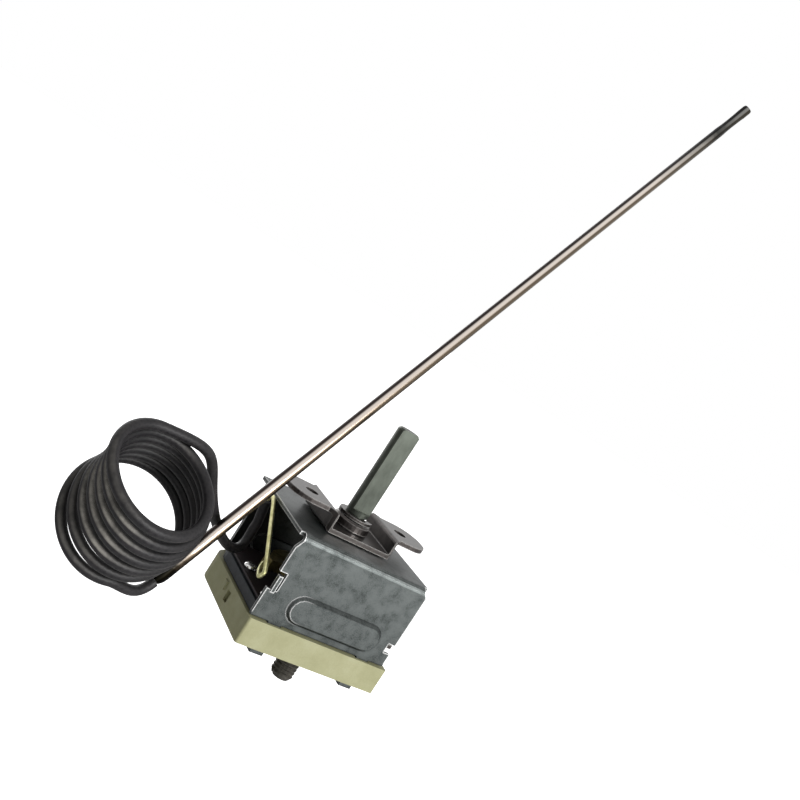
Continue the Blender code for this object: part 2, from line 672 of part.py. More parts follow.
def make_spindle(surface):
    """The D-spindle: chamfered tip, flat towards the ribbed panel, clip groove and thread."""
    groove_low = CLIP_BOTTOM - GAP
    groove_high = CLIP_BOTTOM + CLIP_THICKNESS + GAP
    neck = SPINDLE_RADIUS - CLIP_GROOVE
    profile = [(0, THREAD_BOTTOM), (THREAD_RADIUS - SPINDLE_CHAMFER, THREAD_BOTTOM),
               (THREAD_RADIUS, THREAD_BOTTOM + SPINDLE_CHAMFER), (THREAD_RADIUS, THREAD_TOP),
               (SPINDLE_RADIUS, THREAD_TOP + SPINDLE_CHAMFER), (SPINDLE_RADIUS, groove_low),
               (neck, groove_low), (neck, groove_high), (SPINDLE_RADIUS, groove_high),
               (SPINDLE_RADIUS, SPINDLE_REACH - SPINDLE_CHAMFER),
               (SPINDLE_RADIUS - SPINDLE_CHAMFER, SPINDLE_REACH), (0, SPINDLE_REACH)]
    spindle = lathe("spindle", profile, 32, surface)
    flat = SPINDLE_RADIUS - ACROSS_FLAT
    cut(spindle, box("flat", (-FLAT_CUT, FLAT_CUT), (-FLAT_CUT, flat),
                     (SPINDLE_REACH - FLAT_LENGTH, SPINDLE_REACH + PAST)))
    return shade(spindle)


def arc(radius, start, end, steps):
    """Points along an arc about the origin."""
    return [(radius * math.cos(start + (end - start) * k / steps),
             radius * math.sin(start + (end - start) * k / steps)) for k in range(steps + 1)]


def make_stop_disc(surface):
    """The disc pressed on the spindle, whose lug meets the stop tab at both ends of the turn."""
    half = DISC_LUG_ANGLE / 2
    outline = arc(DISC_RADIUS, DISC_REST_ANGLE + half, DISC_REST_ANGLE - half + 2 * math.pi, 30)
    outline += arc(DISC_LUG_REACH, DISC_REST_ANGLE - half, DISC_REST_ANGLE + half, 6)
    disc = prism("stop_disc", outline, DISC_BOTTOM, DISC_TOP, surface)
    cut(disc, cylinder("bore", 0, 0, SPINDLE_RADIUS + GAP, DISC_BOTTOM - PAST, DISC_TOP + PAST, 32))
    return shade(disc)


def make_clip(surface):
    """The retaining clip: an open ring in the spindle's groove, above the bush."""
    inner = SPINDLE_RADIUS - CLIP_GROOVE + GAP
    mouth = CLIP_OPENING * CLIP_MOUTH
    outline = arc(CLIP_REACH, CLIP_OPENING, 2 * math.pi - CLIP_OPENING, 26)
    outline += arc(inner, 2 * math.pi - mouth, mouth, 26)
    return shade(prism("retaining_clip", outline, CLIP_BOTTOM, CLIP_BOTTOM + CLIP_THICKNESS, surface))


def make_base(surface):
    """The steatite base: a ledge under the cover, the pocket's lower part, slots and screw hole."""
    left, right, half = BASE_LEFT, BASE_RIGHT, BASE_HALF
    outline = rounded([(left, -half), (right, -half), (right, half), (left, half)],
                      [BASE_ARRIS, BASE_ARRIS, BASE_CORNER, BASE_CORNER], 6)
    base = prism("base", outline, BASE_BOTTOM, LEDGE_TOP, surface)
    cut(base, pocket_cutter(POCKET_FLOOR, LEDGE_TOP + PAST))
    for x in (FIXED_TAB_X, COMMON_TAB_X):
        low_x, high_x = tab_span(x)
        cut(base, box("tab_slot", (low_x - GAP, high_x + GAP),
                      (TAB_Y - TAB_THICKNESS - GAP, TAB_Y + GAP), (BASE_BOTTOM - PAST, POCKET_FLOOR + PAST)))
    for side in (-1, 1):
        inner = side * (COVER_HALF - SHEET - GAP)
        outer = side * (COVER_HALF + GAP)
        for x in (-LUG_X, LUG_X):
            cut(base, box("lug_slot", (x - LUG_WIDTH / 2 - GAP, x + LUG_WIDTH / 2 + GAP),
                          (min(inner, outer), max(inner, outer)), (BASE_BOTTOM - PAST, LEDGE_TOP + PAST)))
    cut(base, *fixing_cutters(BASE_BOTTOM, LEDGE_TOP))
    low = (LEDGE_TOP + BASE_BOTTOM) / 2
    join(base, box("boss", (left - END_BOSS_PROUD, left + PAST),
                   (END_BOSS_Y - END_BOSS_WIDTH / 2, END_BOSS_Y + END_BOSS_WIDTH / 2),
                   (low + END_BOSS_LIFT, low + END_BOSS_LIFT + END_BOSS_HEIGHT)))
    cut(base, box("recess", (left - PAST, left + END_RECESS_DEPTH),
                  (END_RECESS_Y - END_RECESS_WIDTH / 2, END_RECESS_Y + END_RECESS_WIDTH / 2),
                  (low - END_RECESS_BELOW, low + END_RECESS_ABOVE)))
    return shade(base)


def make_switch_block(surface):
    """The dark moulded block on the base, which deepens the switch pocket and carries the board."""
    left = BASE_LEFT + BASE_ARRIS
    right = BASE_RIGHT - BASE_ARRIS
    outline = rounded([(left, -BLOCK_HALF), (right, -BLOCK_HALF), (right, BLOCK_HALF), (left, BLOCK_HALF)],
                      [BASE_ARRIS, BASE_ARRIS, BASE_CORNER - BASE_ARRIS, BASE_CORNER - BASE_ARRIS], 6)
    block = prism("switch_block", outline, LEDGE_TOP + GAP, BLOCK_TOP, surface)
    cut(block, pocket_cutter(LEDGE_TOP - PAST, BLOCK_TOP + PAST))
    cut(block, *fixing_cutters(LEDGE_TOP, BLOCK_TOP))
    return shade(block)


def pocket_cutter(low, high):
    """The switch pocket's shape between two levels."""
    right = POCKET_LEFT + POCKET_LENGTH
    rear = POCKET_FRONT + POCKET_WIDTH
    outline = rounded([(POCKET_LEFT, POCKET_FRONT), (right, POCKET_FRONT),
                       (right, rear), (POCKET_LEFT, rear)],
                      [POCKET_CORNER] * 4, 3)
    return prism("pocket", outline, low, high)


def fixing_cutters(low, high):
    """Holes for the board's rivets, down to their tails, and for the calibration screw."""
    tail = max(low - PAST, BOARD_TOP - BOARD_RIVET_LENGTH - GAP)
    holes = [cylinder("rivet_hole", BOARD_RIVET_X, y, SHANK_RADIUS + GAP, tail, high + PAST, 16)
             for y in BOARD_RIVET_YS]
    holes.append(cylinder("screw_hole", CAL_X, CAL_Y, CAL_RADIUS + GAP, low - PAST, high + PAST))
    return holes


def tab_span(x):
    """The X range of a push-on tab centred at x."""
    return x - TAB_WIDTH / 2, x + TAB_WIDTH / 2


def make_terminal(name, x, tab_x, strip, surface):
    """A terminal: a strip across the pocket, bent down into a push-on tab below the base."""
    low_x, high_x = tab_span(tab_x)
    front = SWITCH_Y - BLADE_WIDTH / 2
    start = max(low_x, BLADE_PIVOT_X - STRIP_MARGIN) if x > 0 else low_x
    section = [(front, strip + TAB_THICKNESS), (front, strip), (TAB_Y - TAB_THICKNESS, strip),
               (TAB_Y - TAB_THICKNESS, TAB_END), (TAB_Y, TAB_END), (TAB_Y, strip + TAB_THICKNESS)]
    radii = [0, 0, 0, 0, 0, TAB_THICKNESS]
    terminal = prism(name, rounded(section, radii, 3), low_x, high_x, surface, axes="YZ")
    if start > low_x:
        cut(terminal, box("relief", (low_x - PAST, start),
                          (front - PAST, TAB_Y - TAB_THICKNESS - STRIP_RELIEF),
                          (strip - PAST, strip + TAB_THICKNESS + PAST)))
    cut(terminal, cylinder("shank_hole", x, SWITCH_Y, SHANK_RADIUS + GAP, strip - PAST,
                           strip + TAB_THICKNESS + PAST, 16))
    for side in (-1, 1):
        edge = tab_x + side * TAB_WIDTH / 2
        inner = edge - side * TAB_SHOULDER
        outer = edge + side * PAST
        corner = [(outer, TAB_END - PAST), (inner, TAB_END - PAST), (inner, TAB_END),
                  (edge, TAB_END + TAB_TAPER), (outer, TAB_END + TAB_TAPER)]
        cut(terminal, prism("corner", corner, TAB_Y - TAB_THICKNESS - PAST, TAB_Y + PAST, axes="XZ"))
    return shade(terminal)


def make_rivet(name, x, y, levels, head, surface):
    """A rivet or contact: head, shank and closed tail. levels are tail, shank start, head start, top."""
    tail, shank, start, top = levels
    spread = SHANK_RADIUS + SHANK_SPREAD
    profile = [(0, tail), (spread, tail), (spread, shank), (SHANK_RADIUS, shank), (SHANK_RADIUS, start),
               (head, start), (head, (start + top) / 2), (head * HEAD_CROWN, top), (0, top)]
    rivet = lathe(name, profile, 20, surface)
    rivet.data.transform(Matrix.Translation((x, y, 0)))
    return shade(rivet)


def make_board(surface):
    """The insulating board that closes the switch pocket."""
    left = BASE_LEFT + BOARD_MARGIN
    right = LEVER_PIVOT_X - BOARD_STOP
    half = BLOCK_HALF - BOARD_PLAY
    outline = rounded([(left, -half), (right, -half), (right, half), (left, half)],
                      [BOARD_CORNER, BOARD_CORNER, BOARD_CORNER, BASE_CORNER], 5)
    board = prism("insulating_board", outline, BOARD_BOTTOM, BOARD_TOP, surface)
    cut(board, cylinder("pin_hole", PIN_X, SWITCH_Y, PIN_RADIUS + RUN_GAP,
                        BOARD_BOTTOM - PAST, BOARD_TOP + PAST))
    for y in BOARD_RIVET_YS:
        cut(board, cylinder("rivet_hole", BOARD_RIVET_X, y, SHANK_RADIUS + GAP,
                            BOARD_BOTTOM - PAST, BOARD_TOP + PAST, 16))
    return shade(board)


def make_board_rivet(name, y, surface):
    """A domed rivet that holds the board to the base."""
    top = BOARD_TOP + GAP + BOARD_RIVET_HEIGHT
    start = BOARD_TOP + GAP
    tail = BOARD_TOP - BOARD_RIVET_LENGTH
    profile = [(0, tail), (SHANK_RADIUS, tail), (SHANK_RADIUS, start), (BOARD_RIVET_RADIUS, start)]
    for k in range(1, 5):
        angle = math.pi / 2 * k / 5
        profile.append((BOARD_RIVET_RADIUS * math.cos(angle), start + BOARD_RIVET_HEIGHT * math.sin(angle)))
    profile.append((0, top))
    rivet = lathe(name, profile, 20, surface)
    rivet.data.transform(Matrix.Translation((BOARD_RIVET_X, y, 0)))
    return shade(rivet, 40.0)


def make_lever(surface):
    """The switch lever: a T-shaped plate that rocks in the two panels' right-hand notches."""
    tip = COVER_HALF - LEVER_SETBACK
    wide = BLOCK_HALF
    half = LEVER_WIDTH / 2
    near = LEVER_PIVOT_X - LEVER_TAB / 2
    far = LEVER_PIVOT_X + LEVER_TAB / 2
    edge = near - LEVER_SHOULDER
    points = [(far, -tip), (far, tip), (near, tip), (near, wide), (edge, wide), (SHOULDER_X, half),
              (LEVER_LEFT, half), (LEVER_LEFT, -half), (SHOULDER_X, -half), (edge, -wide), (near, -wide),
              (near, -tip)]
    radii = [0, 0, 0, 0, 0.0005, 0.002, 0.003, 0.003, 0.002, 0.0005, 0, 0]
    lever = prism("switch_lever", rounded(points, radii, 4), LEVER_BOTTOM, LEVER_TOP, surface)
    for side in (-1, 1):
        outline = stadium((SHOULDER_X + LEVER_LEFT) / 2 + LEVER_SLOT_SHIFT, side * half * LEVER_SLOT_Y,
                          LEVER_SLOT_LENGTH, LEVER_SLOT_WIDTH)
        slot = prism("lightening", outline, LEVER_BOTTOM - PAST, LEVER_TOP + PAST)
        cut(lever, slot)
    put_origin(lever, (LEVER_PIVOT_X, 0, LEVER_PIVOT_Z))
    return shade(lever)


def make_push_pin(surface):
    """The steatite pin between the lever and the snap blade."""
    profile = [(0, PIN_BOTTOM), (PIN_RADIUS - PIN_EDGE, PIN_BOTTOM), (PIN_RADIUS, PIN_BOTTOM + PIN_EDGE),
               (PIN_RADIUS, PIN_TOP - PIN_EDGE), (PIN_RADIUS - PIN_EDGE, PIN_TOP), (0, PIN_TOP)]
    pin = lathe("push_pin", profile, 20, surface)
    pin.location = (PIN_X, SWITCH_Y, 0)
    return shade(pin)


def make_blade(surface):
    """The snap blade: a spring strip with two long slots that leave a centre tongue."""
    half = BLADE_WIDTH / 2
    points = [(BLADE_LEFT, SWITCH_Y - half), (BLADE_RIGHT, SWITCH_Y - half), (BLADE_RIGHT, SWITCH_Y + half),
              (BLADE_LEFT, SWITCH_Y + half)]
    end = min(BLADE_END, ROUND_LIMIT * half)
    blade = prism("snap_blade", rounded(points, [end, BLADE_EDGE, BLADE_EDGE, end], 4),
                  BLADE_BOTTOM, BLADE_TOP, surface)
    for x in (CONTACT_X, ROOT_X):
        cut(blade, cylinder("shank_hole", x, SWITCH_Y, SHANK_RADIUS + GAP,
                            BLADE_BOTTOM - PAST, BLADE_TOP + PAST, 16))
    for side in (-1, 1):
        outline = stadium((PIN_X + BLADE_PIVOT_X) / 2 - BLADE_SLOT_SHIFT, SWITCH_Y + side * BLADE_SLOT_Y,
                          BLADE_SLOT_LENGTH, BLADE_SLOT_WIDTH, 4)
        slot = prism("slot", outline, BLADE_BOTTOM - PAST, BLADE_TOP + PAST)
        cut(blade, slot)
    put_origin(blade, (BLADE_PIVOT_X, SWITCH_Y, (BLADE_TOP + BLADE_BOTTOM) / 2))
    return shade(blade)


def make_cup(surface):
    """The thrust cup: threaded on the spindle's lower end, it carries the capsule up and down."""
    bore = THREAD_RADIUS + RUN_GAP
    profile = [(0, CUP_BOTTOM), (CUP_RADIUS - CUP_CHAMFER, CUP_BOTTOM),
               (CUP_RADIUS, CUP_BOTTOM + CUP_CHAMFER), (CUP_RADIUS, CUP_TOP), (bore, CUP_TOP),
               (bore, CUP_BOTTOM + CUP_WALL), (0, CUP_BOTTOM + CUP_WALL)]
    return shade(lathe("thrust_cup", profile, 24, surface))


def make_capsule(surface):
    """The diaphragm capsule: two corrugated discs joined at the rim, a stud and the capillary's neck."""
    upper = [(CAPSULE_RADIUS, 0.0003), (0.88 * CAPSULE_RADIUS, 0.0004), (0.72 * CAPSULE_RADIUS, 0.0009),
             (0.58 * CAPSULE_RADIUS, 0.0006), (0.40 * CAPSULE_RADIUS, 0.0010),
             (0.26 * CAPSULE_RADIUS, CAPSULE_HALF)]
    stud = LEVER_TOP + GAP
    profile = [(0, stud), (STUD_RADIUS - 0.0003, stud), (STUD_RADIUS, CAPSULE_Z - CAPSULE_HALF - 0.0001)]
    profile += [(radius, CAPSULE_Z - rise) for radius, rise in reversed(upper)]
    profile += [(radius, CAPSULE_Z + rise) for radius, rise in upper]
    profile.append((0, CAPSULE_Z + CAPSULE_HALF))
    capsule = lathe("diaphragm_capsule", profile, 40, surface)
    join(capsule, neck_block())
    cut(capsule, neck_slot())
    put_origin(capsule, (0, 0, CAPSULE_Z))
    return shade(capsule)


def neck_frame():
    """Placement of the neck: its X axis points out along the capillary's first stretch."""
    return Matrix.Rotation(NECK_ANGLE, 4, "Z")


def neck_block():
    """The fork on the rim that takes the capillary's end."""
    half = CAPILLARY_RADIUS + RUN_GAP + NECK_WALL
    start = CAPSULE_RADIUS - NECK_OVERLAP
    top = CAPSULE_Z + CAPILLARY_RADIUS + RUN_GAP + NECK_WALL
    low = CAPSULE_Z - NECK_BELOW
    block = box("neck", (start, CAPSULE_RADIUS + NECK_LENGTH), (-half, half), (low, top))
    block.data.transform(neck_frame())
    return block


def neck_slot():
    """The slot in the neck, open below so that the capsule can rise round the capillary."""
    half = CAPILLARY_RADIUS + RUN_GAP
    slot = box("neck_slot", (CAPSULE_RADIUS + NECK_STOP, CAPSULE_RADIUS + NECK_LENGTH + PAST), (-half, half),
               (CAPSULE_Z - NECK_BELOW - PAST, CAPSULE_Z + half))
    slot.data.transform(neck_frame())
    return slot


def make_bare_capillary(surface):
    """The bare copper capillary: from the capsule to the front panel, then up across the open end."""
    out = neck_frame() @ Vector((1, 0, 0))
    start = out * (CAPSULE_RADIUS + NECK_STOP + GAP)
    start.z = CAPSULE_Z
    leave = out * (CAPSULE_RADIUS + WIRE_STRAIGHT)
    leave.z = CAPSULE_Z
    points = [start, leave, *WIRE_BENDS, SLEEVE_TOP + Vector((0.0, 0.0, 2 * GAP))]
    return tube("bare_capillary", smooth_path(points, 5), CAPILLARY_RADIUS, 10, surface)


def coil_point(turned):
    """A point of the fanned coil, by the angle turned since its start."""
    share = turned / (2 * math.pi * COIL_TURNS)
    middle = 4 * share * (1 - share)
    centre = COIL_NEAR_CENTRE.lerp(COIL_FAR_CENTRE, share) + COIL_SAG * middle
    radius = COIL_NEAR_RADIUS + (COIL_FAR_RADIUS - COIL_NEAR_RADIUS) * share + COIL_SWELL * middle
    normal = Matrix.Rotation(COIL_FAN * share, 3, COIL_FAN_AXIS) @ COIL_NEAR_NORMAL
    across = normal.cross(COIL_FAN_AXIS)
    return centre + radius * (math.cos(turned) * COIL_FAN_AXIS - math.sin(turned) * across)


def phial_direction():
    """Unit vector from the phial's root to its tip."""
    level = math.cos(PHIAL_ELEVATION)
    return Vector((level * math.cos(PHIAL_AZIMUTH), level * math.sin(PHIAL_AZIMUTH),
                   math.sin(PHIAL_ELEVATION)))


def make_coil(surface):
    """The sleeved capillary: down out of the body, behind the phial, round the fanned turns to the root."""
    last = 2 * math.pi * COIL_LEAVES_AT
    steps = round(COIL_LEAVES_AT * STEPS_PER_TURN)
    turns = [coil_point(COIL_JOINS_AT + (last - COIL_JOINS_AT) * k / steps) for k in range(steps + 1)]
    into = (turns[1] - turns[0]).normalized()
    away = (turns[-1] - turns[-2]).normalized()
    lead_in = bezier([SLEEVE_START, SLEEVE_START + SLEEVE_DROP, *SLEEVE_GUIDES,
                      turns[0] - into * COIL_PULL, turns[0]], 22)
    end = PHIAL_ROOT - phial_direction() * GAP
    leave, arrive = LEAD_OUT_PULLS
    lead_out = bezier([turns[-1], turns[-1] + away * leave, end - phial_direction() * arrive, end], 5)
    path = [SLEEVE_TOP, (SLEEVE_TOP + SLEEVE_START) / 2, SLEEVE_START, *lead_in, *turns, *lead_out, end]
    return tube("capillary_coil", path, SLEEVE_RADIUS, 8, surface)


def make_phial(surface):
    """The phial: a straight tube, swaged at its root and pinched flat and welded at its tip."""
    sides = 20
    start = PHIAL_LENGTH - PINCH_LENGTH
    stations = [(along, radius, 1.0) for along, radius in SWAGE]
    stations += [(SWAGE_LENGTH, PHIAL_RADIUS, 1.0), (start, PHIAL_RADIUS, 1.0)]
    stations += [(start + along, radius, flat) for along, radius, flat in PINCH]
    rings = []
    for along, radius, flat in stations:
        rings.append([(radius * math.cos(2 * math.pi * k / sides),
                       radius * flat * math.sin(2 * math.pi * k / sides), along) for k in range(sides)])
    phial = loft("phial", rings, surface)
    phial.rotation_mode = "QUATERNION"
    phial.rotation_quaternion = phial_direction().to_track_quat("Z", "Y")
    phial.location = PHIAL_ROOT
    return shade(phial)


def make_calibration_screw(surface):
    """The factory-set screw under the base, with a slotted end and pitched flanks."""
    low = BASE_BOTTOM - CAL_DROP
    high = BOARD_BOTTOM - GAP
    root = CAL_RADIUS - CAL_THREAD
    profile = [(0, low), (CAL_RADIUS - CAL_TIP, low), (root, low + CAL_LEAD)]
    turn = low + CAL_TIP
    while turn + CAL_PITCH < BASE_BOTTOM - CAL_RUNOUT:
        profile += [(root, turn + CAL_PITCH * 0.05), (CAL_RADIUS, turn + CAL_PITCH * 0.4),
                    (CAL_RADIUS, turn + CAL_PITCH * 0.6), (root, turn + CAL_PITCH * 0.95)]
        turn += CAL_PITCH
    profile += [(CAL_RADIUS, BASE_BOTTOM - GAP), (CAL_RADIUS, high), (0, high)]
    screw = lathe("calibration_screw", profile, 20, surface)
    cut(screw, box("slot", (-CAL_RADIUS - PAST, CAL_RADIUS + PAST), (-CAL_SLOT / 2, CAL_SLOT / 2),
                   (low - PAST, low + CAL_SLOT_DEPTH)))
    screw.data.transform(Matrix.Translation((CAL_X, CAL_Y, 0)))
    return shade(screw)


def make_seal(surface):
    """The bead of locking varnish beside the calibration screw."""
    top = BASE_BOTTOM - GAP
    profile = [(SEAL_RADIUS, top)]
    for k in range(1, 5):
        angle = math.pi / 2 * k / 5
        profile.append((SEAL_RADIUS * math.cos(angle), top - SEAL_HEIGHT * math.sin(angle)))
    profile += [(0, top - SEAL_HEIGHT), (0, top)]
    bead = lathe("varnish_seal", profile, 14, surface)
    bead.data.transform(Matrix.Translation((CAL_X + CAL_RADIUS + GAP + SEAL_RADIUS, CAL_Y - SEAL_SHIFT, 0)))
    return shade(bead, 60.0)


def main():
    clear_scene()
    zinc = material("zinc_plate", (0.42, 0.44, 0.47), 0.42, 1.0)
    dark_zinc = material("dark_zinc", (0.27, 0.28, 0.32), 0.5, 1.0)
    steatite = material("steatite", (0.80, 0.78, 0.62), 0.6, 0.0)
    spindle_steel = material("spindle_steel", (0.40, 0.39, 0.36), 0.45, 1.0)
    copper = material("bare_copper", (0.72, 0.62, 0.24), 0.35, 1.0)
    sleeve = material("sleeve", (0.03, 0.03, 0.045), 0.55, 0.0)
    stainless = material("stainless", (0.55, 0.50, 0.46), 0.3, 1.0)
    brass = material("brass", (0.62, 0.50, 0.22), 0.4, 1.0)
    silver = material("silver", (0.80, 0.80, 0.78), 0.3, 1.0)
    moulding = material("dark_moulding", (0.035, 0.04, 0.045), 0.5, 0.0)
    board = material("pressed_board", (0.06, 0.03, 0.03), 0.7, 0.0)
    oxide = material("black_oxide", (0.07, 0.065, 0.06), 0.55, 1.0)
    varnish = material("varnish", (0.68, 0.62, 0.12), 0.3, 0.0)

    make_cover(zinc)
    make_mount_plate(dark_zinc)
    make_bush(dark_zinc)
    make_spindle(spindle_steel)
    make_stop_disc(dark_zinc)
    make_clip(dark_zinc)
    make_base(steatite)
    make_switch_block(moulding)
    make_board(board)
    for name, y in zip(("board_rivet_front", "board_rivet_rear"), BOARD_RIVET_YS):
        make_board_rivet(name, y, silver)
    make_terminal("fixed_terminal", CONTACT_X, FIXED_TAB_X, FIXED_STRIP, brass)
    make_terminal("common_terminal", ROOT_X, COMMON_TAB_X, COMMON_STRIP, brass)
    make_blade(brass)
    fixed_top = FIXED_STRIP + TAB_THICKNESS + GAP + SHANK_TAIL
    make_rivet("fixed_contact", CONTACT_X, SWITCH_Y,
               (fixed_top, fixed_top - SHANK_TAIL, FIXED_STRIP - GAP, FIXED_BOTTOM), CONTACT_RADIUS, silver)
    blade_tail = BLADE_BOTTOM - GAP - SHANK_TAIL
    moving = make_rivet("moving_contact", CONTACT_X, SWITCH_Y,
                        (blade_tail, blade_tail + SHANK_TAIL, BLADE_TOP + GAP, MOVING_TOP),
                        CONTACT_RADIUS, silver)
    put_origin(moving, (BLADE_PIVOT_X, SWITCH_Y, (BLADE_TOP + BLADE_BOTTOM) / 2))
    root_tail = COMMON_STRIP - GAP - SHANK_TAIL
    make_rivet("root_rivet", ROOT_X, SWITCH_Y,
               (root_tail, root_tail + SHANK_TAIL, BLADE_TOP + GAP, MOVING_TOP), CONTACT_RADIUS, brass)
    make_push_pin(steatite)
    make_lever(dark_zinc)
    make_cup(brass)
    make_capsule(copper)
    make_bare_capillary(copper)
    make_coil(sleeve)
    make_phial(stainless)
    make_calibration_screw(oxide)
    make_seal(varnish)


main()
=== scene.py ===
"""Looks for the capillary oven thermostat: smooth round pieces, and a finish for every piece.

Metres throughout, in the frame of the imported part: +Z along the spindle towards the knob, the
coil and the cover's open end at -X, the ribbed panel at -Y. Colours are linear.
"""

from math import comb

import bpy
import numpy as np
from mathutils import Matrix, Vector


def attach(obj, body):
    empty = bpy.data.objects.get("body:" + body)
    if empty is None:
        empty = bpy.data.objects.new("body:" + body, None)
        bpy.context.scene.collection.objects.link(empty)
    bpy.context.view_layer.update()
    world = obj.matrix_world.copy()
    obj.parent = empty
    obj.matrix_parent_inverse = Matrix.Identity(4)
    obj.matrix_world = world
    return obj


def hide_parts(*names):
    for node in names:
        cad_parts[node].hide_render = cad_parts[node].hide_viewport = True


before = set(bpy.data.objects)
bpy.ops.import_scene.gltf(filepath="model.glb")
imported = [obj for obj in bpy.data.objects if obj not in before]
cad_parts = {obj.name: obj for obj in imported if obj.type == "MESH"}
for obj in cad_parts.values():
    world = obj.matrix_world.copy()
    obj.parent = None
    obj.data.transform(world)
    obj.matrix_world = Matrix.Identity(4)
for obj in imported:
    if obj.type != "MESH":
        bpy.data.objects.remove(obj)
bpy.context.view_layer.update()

TURN = 2 * np.pi

# Capillary's route, coil and phial, as in the part's source
GAP = 0.0003
CAPSULE_RADIUS = 0.0125
CAPSULE_Z = -0.0200
NECK_ANGLE = np.radians(190.0)
NECK_STOP = 0.0006            # where the bare wire starts, outside the capsule's rim
CAPILLARY_RADIUS = 0.00055
WIRE_STRAIGHT = 0.0036        # the wire's first bend, outside the rim
WIRE_BENDS = np.array([[-0.0178, -0.0058, -0.0206], [-0.0197, -0.0106, -0.0208],
                       [-0.0202, -0.0128, -0.0195], [-0.0202, -0.0122, -0.0178],
                       [-0.0202, -0.0050, -0.0122], [-0.0202, 0.0014, -0.0073],
                       [-0.0203, 0.0034, -0.0064], [-0.0203, 0.0049, -0.0070]])
SLEEVE_TOP = np.array([-0.0202, 0.0052, -0.0086])
SLEEVE_START = np.array([-0.0192, 0.0050, -0.0145])
SLEEVE_DROP = np.array([-0.00089, 0.00030, -0.00596])
SLEEVE_GUIDES = np.array([[-0.01377, -0.00079, -0.03555], [-0.05775, -0.00770, -0.00328]])
COIL_TURNS = 7.1
COIL_JOINS_AT = 2.0           # radians into the coil where the lead-in meets it
COIL_LEAVES_AT = 6.83         # turns into the coil where the lead-out starts
COIL_NEAR_CENTRE = np.array([-0.05847, -0.02622, -0.00358])
COIL_FAR_CENTRE = np.array([-0.05604, -0.01053, -0.02203])
COIL_SAG = np.array([0.00234, 0.00008, 0.00005])
COIL_NEAR_RADIUS = 0.01156
COIL_FAR_RADIUS = 0.01303
COIL_SWELL = 0.0003
COIL_FAN_AXIS = np.array([0.943, -0.201, -0.265])
COIL_NEAR_NORMAL = np.array([-0.125, 0.526, -0.841])
COIL_FAN = np.radians(20.3)
COIL_PULL = 0.02794
LEAD_OUT_PULLS = (0.0036, 0.0060)
PHIAL_ROOT = np.array([-0.0426, -0.0146, -0.0295])
PHIAL_AZIMUTH = np.radians(31.3)
PHIAL_ELEVATION = np.radians(53.8)
PHIAL_LENGTH = 0.2355
PHIAL_RADIUS = 0.0015
PINCH_LENGTH = 0.0170

# Drawn finer than in the part
SLEEVE_RADIUS = 0.00120       # the braid's strands stand this far out
PINCH_FACING = np.array([-0.503, -0.860, 0.083])      # the pinched end's broad side
ROOT_END = 0.003              # where the phial's narrowed root is past
WIRE_SIDES, SLEEVE_SIDES, PHIAL_SIDES = 18, 24, 40
WIRE_STEPS = 14               # stations from one bend of the wire to the next
TUBE_STATIONS, PINCH_STATIONS = 60, 50
TOP_STATIONS, LEAD_IN_STATIONS, TURN_STATIONS, LEAD_OUT_STATIONS = 8, 90, 620, 20
SHARP_ANGLE = np.radians(40)

# Places on the cover that are darkened as painted shade
INSIDE_HALF = 0.01615         # half the width of its inside, between the panels
INSIDE_ROOF = -0.0064         # and the height below which it is painted in shade
INSIDE_LEFT_OVER = 0.40       # share of the colour that is left there
RIB_SHADE_LEFT = (-0.0113, -0.0068)        # painted shade on a rib grows from none to full between these X
RIB_SHADE_RIGHT = (0.0146, 0.0151)         # and fades between these
RIB_SHADE_LOW = (-0.0266, -0.0262)         # it grows between these Z
RIB_SHADE_HIGH = (-0.0184, -0.0180)        # and fades between these
FOOT_SHADE = (-0.0270, -0.0266)        # painted shade along the panels' feet fades between these Z

# Finishes
EDGE_RADIUS = 0.0005          # how wide sheet edges are painted pale, for wear and as painted highlight
EDGE_COSINES = (0.86, 0.99)           # of the turn a bevel gives the normal, on an edge and off it
CREASE_SIGHT = (0.45, 0.92)           # share of its surroundings seen, in a crease and off it
BRAID_PITCH = 0.0016
BRAID_STRANDS = 6.0           # in each direction
HIGHLIGHT_SIDE = (-0.45, -0.76, 0.47)    # the side where the sleeve has a grey painted highlight
HIGHLIGHT_COSINES = (0.78, 0.98)         # of the angle to that side, from no highlight to full
HIGHLIGHT_FADES_ALONG = (-0.060, -0.050)    # the highlight fades between these X
HIGHLIGHT_GROWS = (0.125, 0.150)            # grows between these distances along the sleeve
HIGHLIGHT_FADES = (0.40, 0.47)              # and fades between these

# Camera fitted to the photograph, and the stage
CAMERA_RIGHT = Vector((0.748113, -0.385133, 0.540370))
CAMERA_UP = Vector((-0.432871, 0.333965, 0.837311))
CAMERA_BACK = Vector((-0.502941, -0.860314, 0.083130))
CAMERA_PLACE = (-0.13016, -0.21030, 0.04976)
SENSOR_WIDTH = 36.0
FOCAL_LENGTH = 1018           # in pixels of the photograph
PHOTO_WIDTH = 800
LAMP_AIM = (-0.02, 0.0, 0.0)
ROOM_STRENGTH = 0.42
FLOOR_LEVEL = -0.075
FLOOR_REACH = 6.0


# Shapes

def unit(vectors):
    """Vectors divided by their own length."""
    vectors = np.asarray(vectors, float)
    return vectors / np.linalg.norm(vectors, axis=-1, keepdims=True)


